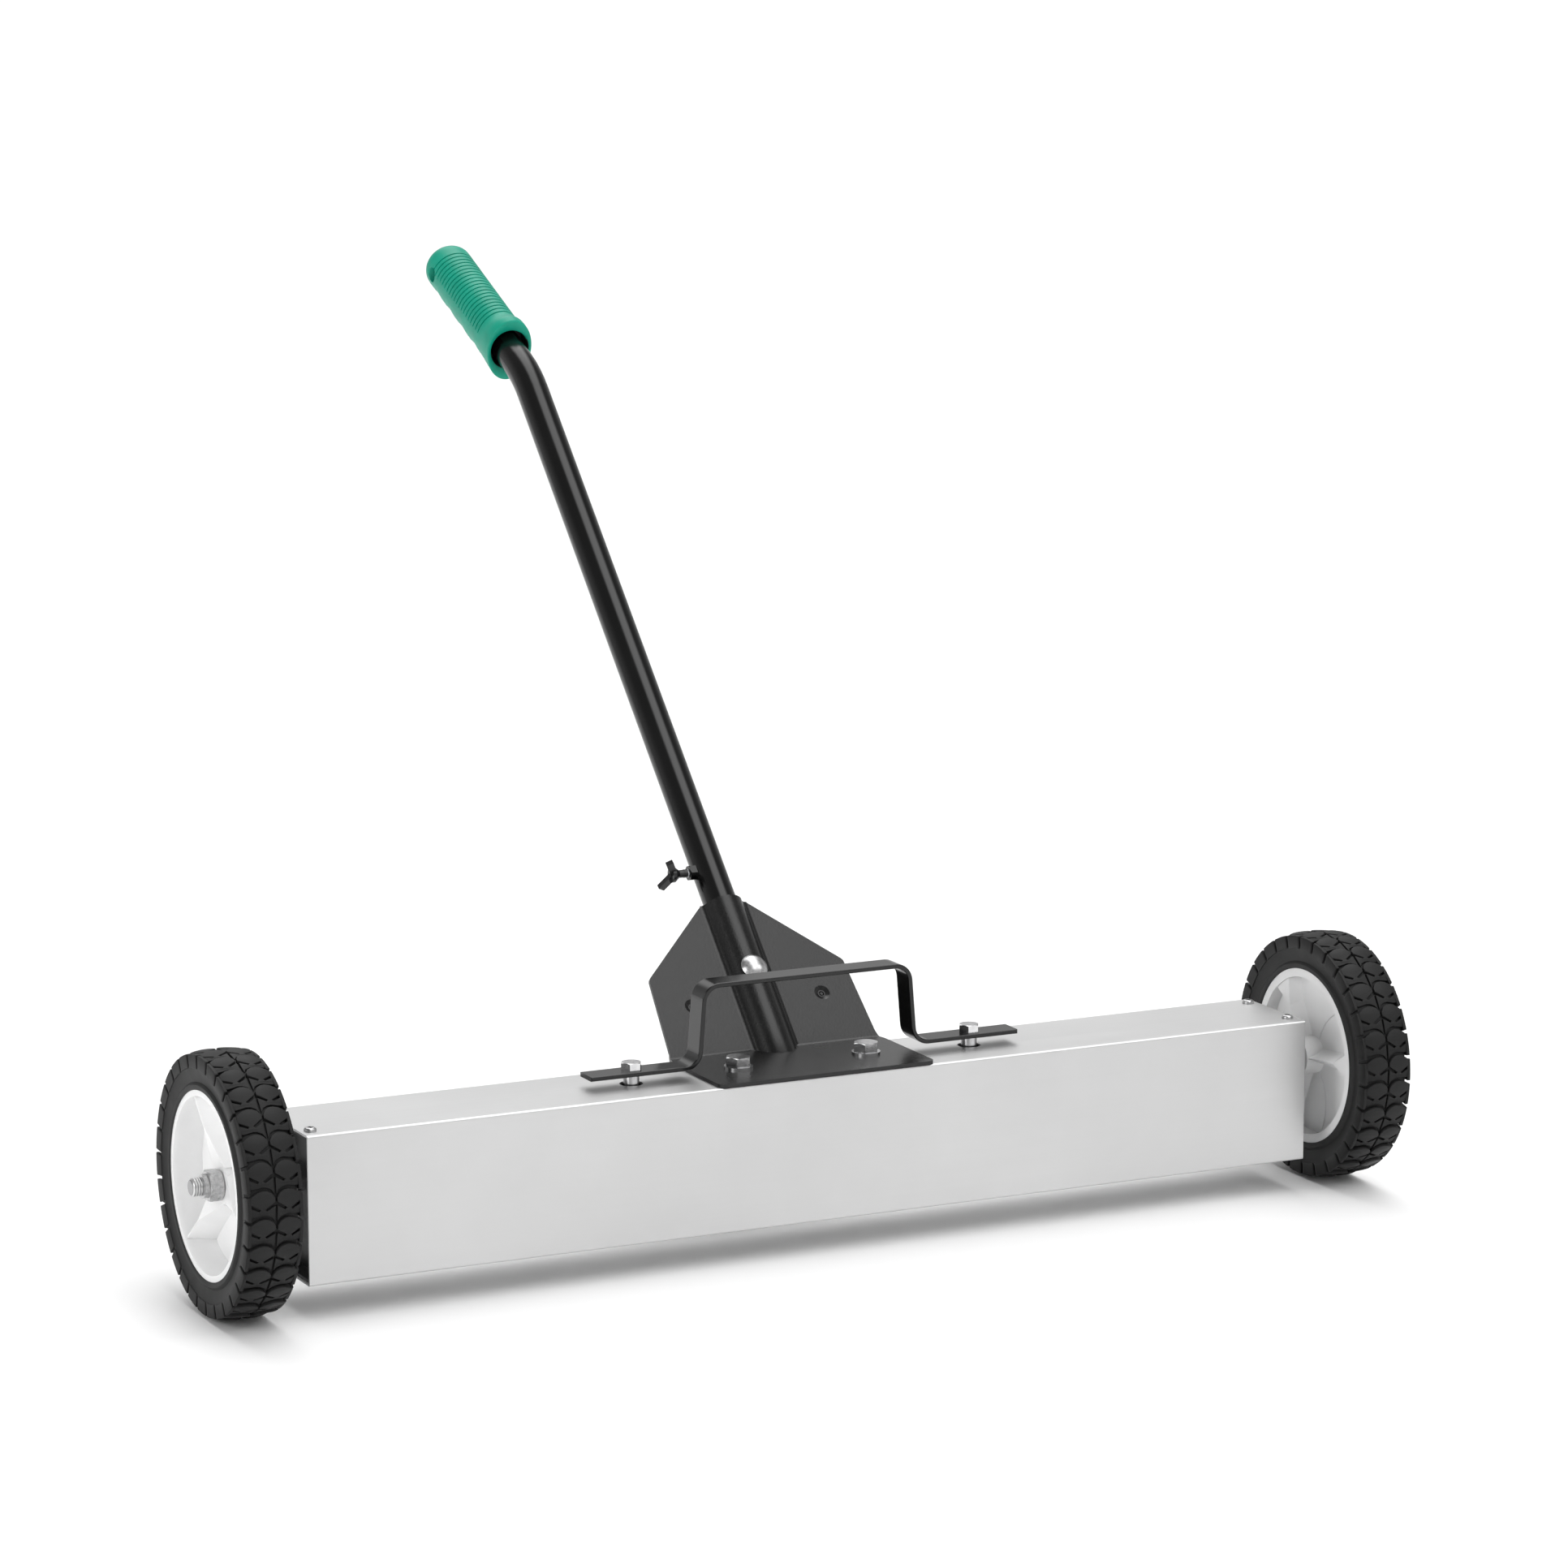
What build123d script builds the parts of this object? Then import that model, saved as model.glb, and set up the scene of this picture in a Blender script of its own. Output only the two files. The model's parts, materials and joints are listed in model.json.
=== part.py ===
"""Push-along magnetic nail sweeper, in millimetres.

Frame: X runs along the housing, +Y points to the back, where the handle leans, and +Z is up.
The origin is on the floor, under the middle of the wheels' common axis.
"""
from build123d import *
import math
import os

# ---- driving dimensions ----------------------------------------------------------------------
housing_length = 756.0
housing_depth = 80.0
housing_height = 101.0
housing_wall = 1.5
housing_fold = 1.6            # outer radius of the folded corners

tyre_diameter = 178.0
tyre_width = 38.0
rim_diameter = 126.0          # over the hub's two lips
wheel_gap = 21.0              # housing end to the tyre's inner side
axle_below_top = 36.0         # axle line, below the housing's top face

handle_tilt = 44.4            # handle, from the vertical, in degrees
grip_tilt = 65.2              # grip, from the vertical, in degrees
handle_straight = 583.0       # bend line of the bracket to the start of the handle's bend
handle_bend_radius = 90.0
tube_diameter = 24.0
tube_wall = 1.5
grip_length = 143.0

# ---- fits ------------------------------------------------------------------------------------
running_fit = 0.08            # radial, a turning or sliding shaft in its hole
thread_fit = 0.05             # radial, a screw in its own nut
hole_clearance = 0.5          # radial, a screw through a punched hole
end_play = 0.5                # axial, a turning wheel between its stops
body_gap = 0.4                # between pieces that move past each other

# ---- end caps and axles ----------------------------------------------------------------------
cap_thickness = 2.0
cap_inset = 1.0               # cap's free edge, inside the housing's end
cap_recess = 11.5             # housing end to the cap web's outer face
cap_screw_inset = 7.0         # housing end to the screws' line
cap_screw_spacing = 54.0
cap_screw_diameter = 4.2
cap_screw_head = 8.4
cap_screw_head_height = 2.6
cap_screw_length = 9.5

axle_diameter = 12.0
axle_hex = 19.0
axle_head_height = 7.5
axle_nut_height = 10.0
lock_nut_height = 13.0
lock_nut_collar = 3.5         # round collar that holds the locking ring
axle_spacer_diameter = 17.0
stud_beyond_nut = 7.5

# ---- wheels ----------------------------------------------------------------------------------
rim_lip = 2.5
rim_lip_height = 3.0
rim_wall = 3.0
rim_setback = 2.0             # rim edge, inside the tyre's side
hub_boss_radius = 13.5
hub_boss_outside = 5.5        # boss end face, beyond the wheel's middle plane
hub_boss_inside = 21.5
hub_floor_outside = -3.0      # web's outer face, from the wheel's middle plane
hub_web = 4.0
spoke_count = 3
spoke_knee = 39.0             # radius where a spoke's flat facet narrows to a sharp crest
spoke_base = 28.0             # widest foot of a spoke
spoke_facet = 20.0            # widest flat of a spoke
spoke_crest = 1.0             # width of its sharp crest
spoke_rim_drop = 1.5          # crest at the barrel, below the rim's edge
spoke_knee_drop = 5.0         # crest at the knee, below the rim's edge
step_width = 1.0              # curved step lines between the inner spokes
step_depth = 1.0
step_sweep = 20.0             # turn of a step line from root to tip, in degrees
right_phase = 57.0            # first spoke at rest, from the back of the sweeper
left_phase = 49.0

# ---- handle bracket --------------------------------------------------------------------------
bracket_sheet = 2.5
bracket_width = 163.0
bracket_overhang = 0.7        # base flange, in front of the housing's face
bend_overhang = 2.0           # bend line, behind the housing's back face
bracket_bend_radius = 3.0     # inside the bend
plate_root_width = 158.0
plate_waist_width = 150.0
plate_waist_height = 65.0
plate_top_width = 35.0
plate_height = 120.0
plate_corner = 5.0
channel_depth = 3.0           # tube axis, behind the plate's front face
channel_fillet = 5.0
channel_foot = 4.0            # start of the open channel, above the bend line
collar_start = 12.0
collar_end = 74.0
carriage_bolt_height = 59.5   # along the plate
carriage_bolt_diameter = 8.0
carriage_dome = 19.5
carriage_dome_height = 4.8
dimple_spacing = 100.0
dimple_height = 40.0
dimple_diameter = 11.5
dimple_angle = 120.0
saddle_sheet = 2.5
saddle_low = 27.0
saddle_high = 73.0
saddle_ear = 14.0             # saddle's end, outside its screw
rivet_diameter = 5.6
rivet_core = 2.2             # pin in the middle of the blind rivet
rivet_ring = 3.8             # hollow round the pin

bracket_bolt_spacing = 97.4
bracket_bolt_diameter = 10.0
bracket_bolt_hex = 16.0
bracket_bolt_head = 6.4
bracket_bolt_length = 20.0
bracket_nut_height = 8.0
washer_diameter = 20.0
washer_thickness = 1.6

# ---- telescopic handle -----------------------------------------------------------------------
inner_tube_top = 545.0        # along the handle, from the bend line
inner_tube_wall = 1.5
clamp_height = 150.0          # clamp screw, along the handle
clamp_thread = 6.0
clamp_nut_hex = 10.0
clamp_nut_height = 4.0        # above the tube's surface
wing_thread_shown = 3.7       # bare thread between the nut and the wing's neck
wing_neck = 3.7
wing_neck_radius = 2.8
wing_boss_radius = 5.6
wing_boss_taper = 3.6         # length of the boss's cone
wing_boss_rim = 2.4           # length of the boss's straight rim
wing_reach = 12.8             # wing tip, from the screw's axis
wing_rise = 7.0               # wing tip, outward of the boss's cone
wing_width = 5.2
wing_thickness = 3.5
wing_turn = 36.0              # wings' plane at rest, from the vertical, in degrees

grip_start = 32.0             # grip's mouth, beyond the handle's corner
grip_half_width = 17.2        # body, half across
grip_half_height = 20.5
grip_end_radius = 18.6
grip_end_dome = 10.0
grip_collar_half_width = 17.8
grip_collar_half_height = 23.2
grip_collar_rise = 1.3        # collar's centre, above the grip's axis
grip_collar_length = 7.0
grip_flare = 18.0             # length over which the collar narrows to the body
grip_mouth_gap = 2.8          # wide mouth of the bore, round the tube
grip_mouth_depth = 16.0
grip_groove_count = 20        # grooves over the upper side
grip_groove_pitch = 4.85
grip_groove_width = 1.5
grip_groove_depth = 1.2
grip_groove_start = 26.5      # first groove, from the mouth
grip_groove_line = 3.0        # ends of the grooves, above the grip's axis
grip_wave_count = 4           # finger waves along the lower side
grip_wave_pitch = 25.0
grip_wave_radius = 30.0
grip_wave_depth = 1.6
grip_wave_start = 38.0
hang_hole_diameter = 11.0
hang_hole_inset = 22.0
grip_solid_end = 30.0         # length of the grip past the tube's end

# ---- release strap and magnets ---------------------------------------------------------------
strap_width = 19.0
strap_thickness = 3.1
strap_length = 325.0
strap_top = 190.0             # height above the floor at rest
strap_foot = 131.5            # underside of the feet at rest
strap_leg_top = 79.0          # leg's outer face, at the top
strap_leg_foot = 83.5         # leg's outer face, at the foot
strap_bend = 13.0
strap_edge = 0.8
release_spacing = 258.0
release_bolt_diameter = 8.0
release_bolt_hex = 13.0
release_bolt_head = 5.5
release_nut_height = 6.5
sleeve_diameter = 11.0
sleeve_hole = 16.0
tray_end_gap = 33.0           # housing end to the tray's end
tray_side_gap = 2.5           # tray to the housing's inner side
tray_height = 30.0
tray_sheet = 4.0
magnet_length = 98.0
magnet_height = 25.0
magnet_gap = 2.0              # between neighbours along the tray
magnet_side_gap = 1.0
magnet_bolt_room = 13.0       # from a release bolt's axis to the nearest magnet

# ---- derived places --------------------------------------------------------------------------
axle_height = tyre_diameter / 2
housing_top = axle_height + axle_below_top
housing_bottom = housing_top - housing_height
housing_end = housing_length / 2
inner_depth = housing_depth - 2 * housing_wall
inner_height = housing_height - 2 * housing_wall
wheel_middle = housing_end + wheel_gap + tyre_width / 2
cap_web_outer = housing_end - cap_recess
cap_web_inner = cap_web_outer - cap_thickness
axle_nut_end = cap_web_outer + axle_nut_height
hub_inner_face = wheel_middle - hub_boss_inside
hub_outer_face = wheel_middle + hub_boss_outside
lock_nut_start = hub_outer_face + end_play
axle_tip = lock_nut_start + lock_nut_height + stud_beyond_nut
rim_half = tyre_width / 2 - rim_setback
rim_radius = rim_diameter / 2
seat_radius = rim_radius - rim_lip_height
rim_inner = seat_radius - rim_wall
hub_floor_inside = hub_floor_outside - hub_web

tilt = math.radians(handle_tilt)
along_handle = Vector(0, math.sin(tilt), math.cos(tilt))
plate_front = Vector(0, -math.cos(tilt), math.sin(tilt))
flange_top = housing_top + bracket_sheet
bracket_front = housing_depth / 2 + bracket_overhang
bracket_bend_line = housing_depth / 2 + bend_overhang
bend_point = Vector(0, bracket_bend_line, flange_top)
handle_root = bend_point - plate_front * channel_depth
outer_radius = tube_diameter / 2
inner_tube_radius = outer_radius - tube_wall - running_fit
channel_radius = outer_radius + body_gap
bulge_radius = channel_radius + bracket_sheet
grip_lean = math.radians(grip_tilt)
along_grip = Vector(0, math.sin(grip_lean), math.cos(grip_lean))
bend_tangent = handle_bend_radius * math.tan((grip_lean - tilt) / 2)
handle_corner = handle_root + along_handle * (handle_straight + bend_tangent)
tube_start = handle_root + along_handle * (collar_end + body_gap)
grip_mouth = handle_corner + along_grip * grip_start
grip_end = grip_mouth + along_grip * grip_length
tube_end = grip_end - along_grip * grip_solid_end
hang_hole = grip_end - along_grip * hang_hole_inset

clamp_centre = handle_root + along_handle * clamp_height
clamp_nut_top = outer_radius + clamp_nut_height
tray_length = housing_length - 2 * tray_end_gap
tray_width = inner_depth - 2 * tray_side_gap
tray_bottom = housing_bottom + housing_wall + body_gap
tray_top = tray_bottom + tray_height
tray_ceiling = tray_top - tray_sheet


# ---- small helpers ---------------------------------------------------------------------------
def save(builder, name):
    """Label a finished piece and write it as its own file."""
    builder.part.label = name
    export_step(builder.part, f"parts/{name}.step")


def upright(place):
    """Plane through a fastener's axis: local X is radial and local Y runs along the axis."""
    return Plane(place.origin, x_dir=place.x_dir, z_dir=-place.y_dir)


def axis_of(place):
    return Axis(place.origin, place.z_dir)


def across(side, distance, y=0.0, z=axle_height):
    """Plane square to X on one side of the sweeper, facing outwards."""
    return Plane(origin=(side * distance, y, z), x_dir=(0, 1, 0), z_dir=(side, 0, 0))


def hex_block(place, across_flats, height, chamfered_both_ends=False):
    """Hexagon that stands on a plane, with its corners turned off at the free end."""
    corner = across_flats / math.sqrt(3)
    turned = (corner - across_flats / 2) * 0.95
    slope = turned * math.tan(math.radians(30))
    foot = [(corner - turned, 0), (corner, slope)] if chamfered_both_ends else [(corner, 0)]
    with BuildPart() as block:
        with BuildSketch(place):
            RegularPolygon(radius=across_flats / 2, side_count=6, major_radius=False)
        extrude(amount=height)
        with BuildSketch(upright(place)):
            with BuildLine():
                Polyline(
                    (0, 0),
                    *foot,
                    (corner, height - slope),
                    (corner - turned, height),
                    (0, height),
                    close=True,
                )
            make_face()
        revolve(axis=axis_of(place), mode=Mode.INTERSECT)
    return block.part


def hex_bolt(place, diameter, across_flats, head_height, length):
    """Hexagon bolt: its head stands on the plane and its shank runs the other way."""
    head = hex_block(place, across_flats, head_height)
    with BuildPart() as bolt:
        add(head)
        with BuildSketch(place):
            Circle(diameter / 2)
        extrude(amount=-length)
        chamfer(bolt.edges().filter_by(GeomType.CIRCLE).sort_by(axis_of(place))[0], diameter / 10)
    return bolt.part


def hex_nut(place, diameter, across_flats, height):
    """Plain nut that stands on the plane, bored to clear its own screw."""
    block = hex_block(place, across_flats, height, chamfered_both_ends=True)
    with BuildPart() as nut:
        add(block)
        with BuildSketch(place):
            Circle(diameter / 2 + thread_fit)
        extrude(amount=height, mode=Mode.SUBTRACT)
    return nut.part


def ring(place, inner_radius, outer_radius_, length):
    """Washer, sleeve or spacer that stands on the plane."""
    with BuildPart() as tube:
        with BuildSketch(place):
            Circle(outer_radius_)
            Circle(inner_radius, mode=Mode.SUBTRACT)
        extrude(amount=length)
    return tube.part


def group(name, pieces):
    """Write like pieces as one node of separate solids."""
    with BuildPart() as together:
        for piece in pieces:
            add(piece)
    save(together, name)


# ---- housing ---------------------------------------------------------------------------------
def housing_shell():
    """Folded aluminium box tube, open at both ends and punched along the top."""
    end_plane = Plane(origin=(-housing_end, 0, housing_bottom + housing_height / 2),
                      x_dir=(0, 1, 0), z_dir=(1, 0, 0))
    top_plane = Plane.XY.offset(housing_top)
    with BuildPart() as shell:
        with BuildSketch(end_plane):
            RectangleRounded(housing_depth, housing_height, housing_fold)
            Rectangle(inner_depth, inner_height, mode=Mode.SUBTRACT)
        extrude(amount=housing_length)
        with BuildSketch(top_plane):
            with GridLocations(release_spacing, 0, 2, 1):
                Circle(sleeve_hole / 2)
            with GridLocations(bracket_bolt_spacing, 0, 2, 1):
                Circle(bracket_bolt_diameter / 2 + hole_clearance)
            with GridLocations(housing_length - 2 * cap_screw_inset, cap_screw_spacing, 2, 2):
                Circle(cap_screw_diameter / 2)
        extrude(amount=-2 * housing_wall, mode=Mode.SUBTRACT)
    save(shell, "housing_shell")


def end_cap(side, name):
    """Pressed steel pan: its web carries the axle and its rim faces outwards inside the housing."""
    middle_drop = housing_bottom + housing_height / 2
    length = cap_recess - cap_inset + cap_thickness
    with BuildPart() as cap:
        with BuildSketch(across(side, cap_web_inner, z=middle_drop)):
            RectangleRounded(inner_depth, inner_height, cap_thickness)
        extrude(amount=length)
        with BuildSketch(across(side, cap_web_outer, z=middle_drop)):
            Rectangle(inner_depth - 2 * cap_thickness, inner_height - 2 * cap_thickness)
        extrude(amount=length, mode=Mode.SUBTRACT)
        with BuildSketch(across(side, cap_web_inner)):
            Circle(axle_diameter / 2 + hole_clearance / 2)
        extrude(amount=cap_thickness, mode=Mode.SUBTRACT)
        screw_line = Plane(origin=(side * (housing_end - cap_screw_inset), 0, housing_top))
        with BuildSketch(screw_line):
            with GridLocations(0, cap_screw_spacing, 1, 2):
                Circle(cap_screw_diameter / 2)
        extrude(amount=-(housing_wall + 2 * cap_thickness), mode=Mode.SUBTRACT)
    save(cap, name)


def cross_head_screw(place):
    """Pan-head self-tapping screw with a cross recess."""
    slot_width = cap_screw_head / 7
    slot_length = cap_screw_head * 0.55
    with BuildPart() as screw:
        with BuildSketch(place):
            Circle(cap_screw_head / 2)
        extrude(amount=cap_screw_head_height)
        rim = screw.edges().filter_by(GeomType.CIRCLE).sort_by(axis_of(place))[-1]
        fillet(rim, cap_screw_head_height * 0.7)
        with BuildSketch(place.offset(cap_screw_head_height)):
            Rectangle(slot_length, slot_width)
            Rectangle(slot_width, slot_length)
        extrude(amount=-cap_screw_head_height * 0.6, mode=Mode.SUBTRACT)
        with BuildSketch(place):
            Circle(cap_screw_diameter / 2)
        extrude(amount=-cap_screw_length)
    return screw.part


def end_cap_screws():
    places = []
    for side in (-1, 1):
        for row in (-0.5, 0.5):
            x = side * (housing_end - cap_screw_inset)
            places.append(Plane(origin=(x, row * cap_screw_spacing, housing_top)))
    group("end_cap_screws", [cross_head_screw(place) for place in places])


# ---- axles and wheels ------------------------------------------------------------------------
def axle_parts(side, word):
    """Shoulderless axle: a bolt clamped to the cap's web, a spacer, and a lock nut outside the hub."""
    bolt_seat = Plane(origin=(side * cap_web_inner, 0, axle_height), x_dir=(0, 1, 0), z_dir=(-side, 0, 0))
    bolt = hex_bolt(bolt_seat, axle_diameter, axle_hex, axle_head_height, axle_tip - cap_web_inner)
    group(f"{word}_axle_bolt", [bolt])
    jam_nut = hex_nut(across(side, cap_web_outer), axle_diameter, axle_hex, axle_nut_height)
    group(f"{word}_axle_nut", [jam_nut])
    spacer_length = hub_inner_face - end_play - axle_nut_end
    spacer_bore = axle_diameter / 2 + thread_fit
    spacer_place = across(side, axle_nut_end)
    spacer = ring(spacer_place, spacer_bore, axle_spacer_diameter / 2, spacer_length)
    group(f"{word}_axle_spacer", [spacer])
    hex_height = lock_nut_height - lock_nut_collar
    lock_hex = hex_nut(across(side, lock_nut_start), axle_diameter, axle_hex, hex_height)
    with BuildPart() as lock_nut:
        add(lock_hex)
        with BuildSketch(across(side, lock_nut_start + hex_height)):
            Circle(axle_hex * 0.42)
            Circle(axle_diameter / 2 + thread_fit, mode=Mode.SUBTRACT)
        extrude(amount=lock_nut_collar)
    save(lock_nut, f"{word}_lock_nut")


def wheel_section(side):
    """Plane through the wheel's axis: local X is the radius and local Y points outwards."""
    return Plane(origin=(side * wheel_middle, 0, axle_height), x_dir=(0, 0, 1), z_dir=(0, side, 0))


def tyre(side, name):
    """Solid rubber tyre that grips the hub's barrel between its two lips."""
    crown = tyre_diameter / 2
    half = tyre_width / 2
    shoulder = crown - 4.0
    lip_start = rim_half - rim_lip
    ring_height = rim_radius + 4.5
    with BuildPart() as rubber:
        with BuildSketch(wheel_section(side)):
            with BuildLine():
                Polyline(
                    (seat_radius, 0),
                    (seat_radius, lip_start),
                    (rim_radius, lip_start),
                    (rim_radius, rim_half + 0.5),
                    (ring_height, rim_half + 0.5),
                    (ring_height + 0.8, rim_half - 0.5),
                    (shoulder - 7.0, half - 0.8),
                    (shoulder - 6.0, half),
                    (shoulder, half),
                    (crown - 1.0, half - 4.5),
                )
                ThreePointArc((crown - 1.0, half - 4.5), (crown - 0.25, (half - 4.5) / 2), (crown, 0))
                Line((crown, 0), (seat_radius, 0))
            make_face()
            mirror(about=Plane.XZ)
        revolve(axis=Axis((0, 0, axle_height), (1, 0, 0)))
    save(rubber, name)


def spoke_section(side, angle, reach, foot, top, foot_width, top_width):
    """Cross-section of a spoke at one radius; its heights are measured outwards."""
    turn = math.radians(angle)
    out = Vector(0, math.cos(turn), side * math.sin(turn))
    middle = Vector(side * wheel_middle, 0, axle_height) + out * reach
    with BuildSketch(Plane(origin=middle, x_dir=(side, 0, 0), z_dir=out)) as section:
        Polygon(
            (foot, -foot_width / 2),
            (foot, foot_width / 2),
            (top, top_width / 2),
            (top, -top_width / 2),
            align=None,
        )
    return section.sketch


def spokes(side, phase):
    """Facetted spokes on both faces of the web, each one a facet that narrows to a sharp crest."""
    reaches = (hub_boss_radius * 0.7, spoke_knee, rim_inner + rim_wall / 2)
    rim_top = rim_half - spoke_rim_drop
    knee_top = rim_half - spoke_knee_drop
    middle = (hub_floor_outside + hub_floor_inside) / 2
    outside = (
        (hub_boss_outside - body_gap, spoke_base, spoke_facet),
        (knee_top, spoke_base * 0.6, spoke_crest),
        (rim_top, spoke_base * 0.4, spoke_crest),
    )
    inside = (
        (body_gap - hub_boss_inside, spoke_base * 0.4, spoke_crest),
        (-rim_top, spoke_base * 0.6, spoke_crest),
        (-rim_top, spoke_base, spoke_facet),
    )
    with BuildPart() as relief:
        for index in range(spoke_count):
            angle = phase + 360 / spoke_count * index
            for face in (outside, inside):
                cuts = [
                    spoke_section(side, angle, reach, middle, *station)
                    for reach, station in zip(reaches, face)
                ]
                loft(cuts[:2], ruled=True)
                loft(cuts[1:], ruled=True)
    return relief.part


def hub(side, phase, name):
    """White moulded hub: barrel with two lips, dished web, boss, facetted spokes and step lines."""
    lip_start = rim_half - rim_lip
    face = across(side, wheel_middle)
    root = Vector(hub_boss_radius, 0)
    tip = Vector(rim_inner - rim_wall, 0).rotate(Axis.Z, side * step_sweep)
    bow = Vector(tip.Y, -tip.X) * 0.12 * side
    step_line = ThreePointArc(root, (root + tip) * 0.5 + bow, tip)
    with BuildPart() as wheel:
        with BuildSketch(wheel_section(side)):
            with BuildLine():
                Polyline(
                    (rim_inner, -rim_half),
                    (rim_radius, -rim_half),
                    (rim_radius, -lip_start),
                    (seat_radius, -lip_start),
                    (seat_radius, lip_start),
                    (rim_radius, lip_start),
                    (rim_radius, rim_half),
                    (rim_inner + 2.0, rim_half),
                    (rim_inner, hub_floor_outside),
                    (hub_boss_radius, hub_floor_outside),
                    (hub_boss_radius, hub_boss_outside),
                    (axle_diameter / 2 + running_fit, hub_boss_outside),
                    (axle_diameter / 2 + running_fit, -hub_boss_inside),
                    (hub_boss_radius, -hub_boss_inside),
                    (hub_boss_radius, hub_floor_inside),
                    (rim_inner, hub_floor_inside),
                    close=True,
                )
            make_face()
        revolve(axis=Axis((0, 0, axle_height), (1, 0, 0)))
        with BuildSketch(face.offset(hub_floor_inside)):
            with PolarLocations(0, spoke_count, start_angle=phase + 180 / spoke_count):
                SlotArc(step_line, step_width)
        extrude(amount=step_depth, mode=Mode.SUBTRACT)
        add(spokes(side, phase))
        with BuildSketch(face.offset(hub_boss_outside)):
            Circle(axle_diameter / 2 + running_fit)
        extrude(amount=-(hub_boss_outside + hub_boss_inside), mode=Mode.SUBTRACT)
    save(wheel, name)


# ---- handle bracket --------------------------------------------------------------------------
plate_plane = Plane(origin=bend_point, x_dir=(1, 0, 0), z_dir=plate_front)
handle_section = Plane(origin=bend_point, x_dir=(1, 0, 0), z_dir=along_handle)
channel_crest = bulge_radius - channel_depth


def channel_rib():
    """Half-round rib pressed forward out of the plate, with a rounded root and a closed foot."""
    foot = 2 * bulge_radius
    with BuildPart() as rib:
        with BuildSketch(handle_section.offset(-foot)):
            with Locations((0, channel_depth)):
                Circle(bulge_radius)
            Rectangle(4 * bulge_radius, bracket_sheet, align=(Align.CENTER, Align.MIN))
            roots = vertices().filter_by_position(Axis.Y, -0.01, 0.01)
            roots = roots.filter_by_position(Axis.X, -1.5 * bulge_radius, 1.5 * bulge_radius)
            fillet(roots, channel_fillet)
            Rectangle(
                6 * bulge_radius,
                4 * bulge_radius,
                align=(Align.CENTER, Align.MIN),
                mode=Mode.SUBTRACT,
            )
        extrude(amount=foot + plate_height)
        split(bisect_by=Plane.XY.offset(flange_top - bracket_sheet / 2), keep=Keep.TOP)
    return rib.part


def bent_sheet():
    """Base flange and leaning plate before the channel is pressed, cut to outline."""
    reach = 2 * plate_height
    plate_tip = bend_point + along_handle * plate_height
    side_plane = Plane(origin=(-bracket_width / 2, 0, 0), x_dir=(0, 1, 0), z_dir=(1, 0, 0))
    with BuildPart() as sheet:
        with BuildSketch(side_plane):
            with BuildLine():
                FilletPolyline(
                    (-bracket_front, flange_top),
                    (bracket_bend_line, flange_top),
                    (plate_tip.Y, plate_tip.Z),
                    radius=bracket_bend_radius,
                )
                offset(amount=bracket_sheet, side=Side.RIGHT)
            make_face()
        extrude(amount=bracket_width)
        front_corners = sheet.edges().filter_by(Axis.Z).group_by(Axis.Y)[0]
        fillet(front_corners, plate_corner)
        with BuildSketch(plate_plane.offset(-reach)):
            with BuildLine():
                Polyline(
                    (-bracket_width / 2, -reach),
                    (-bracket_width / 2, -plate_corner),
                    (-plate_root_width / 2, plate_corner),
                    (-plate_waist_width / 2, plate_waist_height),
                    (-plate_top_width / 2, plate_height),
                    (plate_top_width / 2, plate_height),
                    (plate_waist_width / 2, plate_waist_height),
                    (plate_root_width / 2, plate_corner),
                    (bracket_width / 2, -plate_corner),
                    (bracket_width / 2, -reach),
                    close=True,
                )
            make_face()
            upper = vertices().filter_by_position(Axis.Y, plate_waist_height - 1, plate_height + 1)
            fillet(upper, plate_corner)
        extrude(amount=2 * reach, mode=Mode.INTERSECT)
    return sheet.part


def handle_bracket():
    """One bent steel sheet with a pressed channel that holds the foot of the handle."""
    sheet = bent_sheet()
    rib = channel_rib()
    with BuildPart() as bracket:
        add(sheet)
        add(rib)
        with BuildSketch(handle_section.offset(channel_foot)):
            with Locations((0, channel_depth)):
                Circle(channel_radius)
        extrude(amount=2 * plate_height, mode=Mode.SUBTRACT)
        with BuildSketch(Plane.XY.offset(flange_top)):
            with GridLocations(bracket_bolt_spacing, 0, 2, 1):
                Circle(bracket_bolt_diameter / 2 + hole_clearance)
        extrude(amount=-bracket_sheet, mode=Mode.SUBTRACT)
        with BuildSketch(plate_plane.offset(channel_crest)):
            with Locations((0, carriage_bolt_height)):
                Circle(carriage_bolt_diameter / 2 + hole_clearance)
        extrude(amount=-channel_crest - bracket_sheet, mode=Mode.SUBTRACT)
        with Locations(plate_plane):
            with Locations((dimple_spacing / 2, dimple_height), (-dimple_spacing / 2, dimple_height)):
                CounterSinkHole(rivet_diameter / 2, dimple_diameter / 2, bracket_sheet, dimple_angle)
    save(bracket, "handle_bracket")


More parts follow.
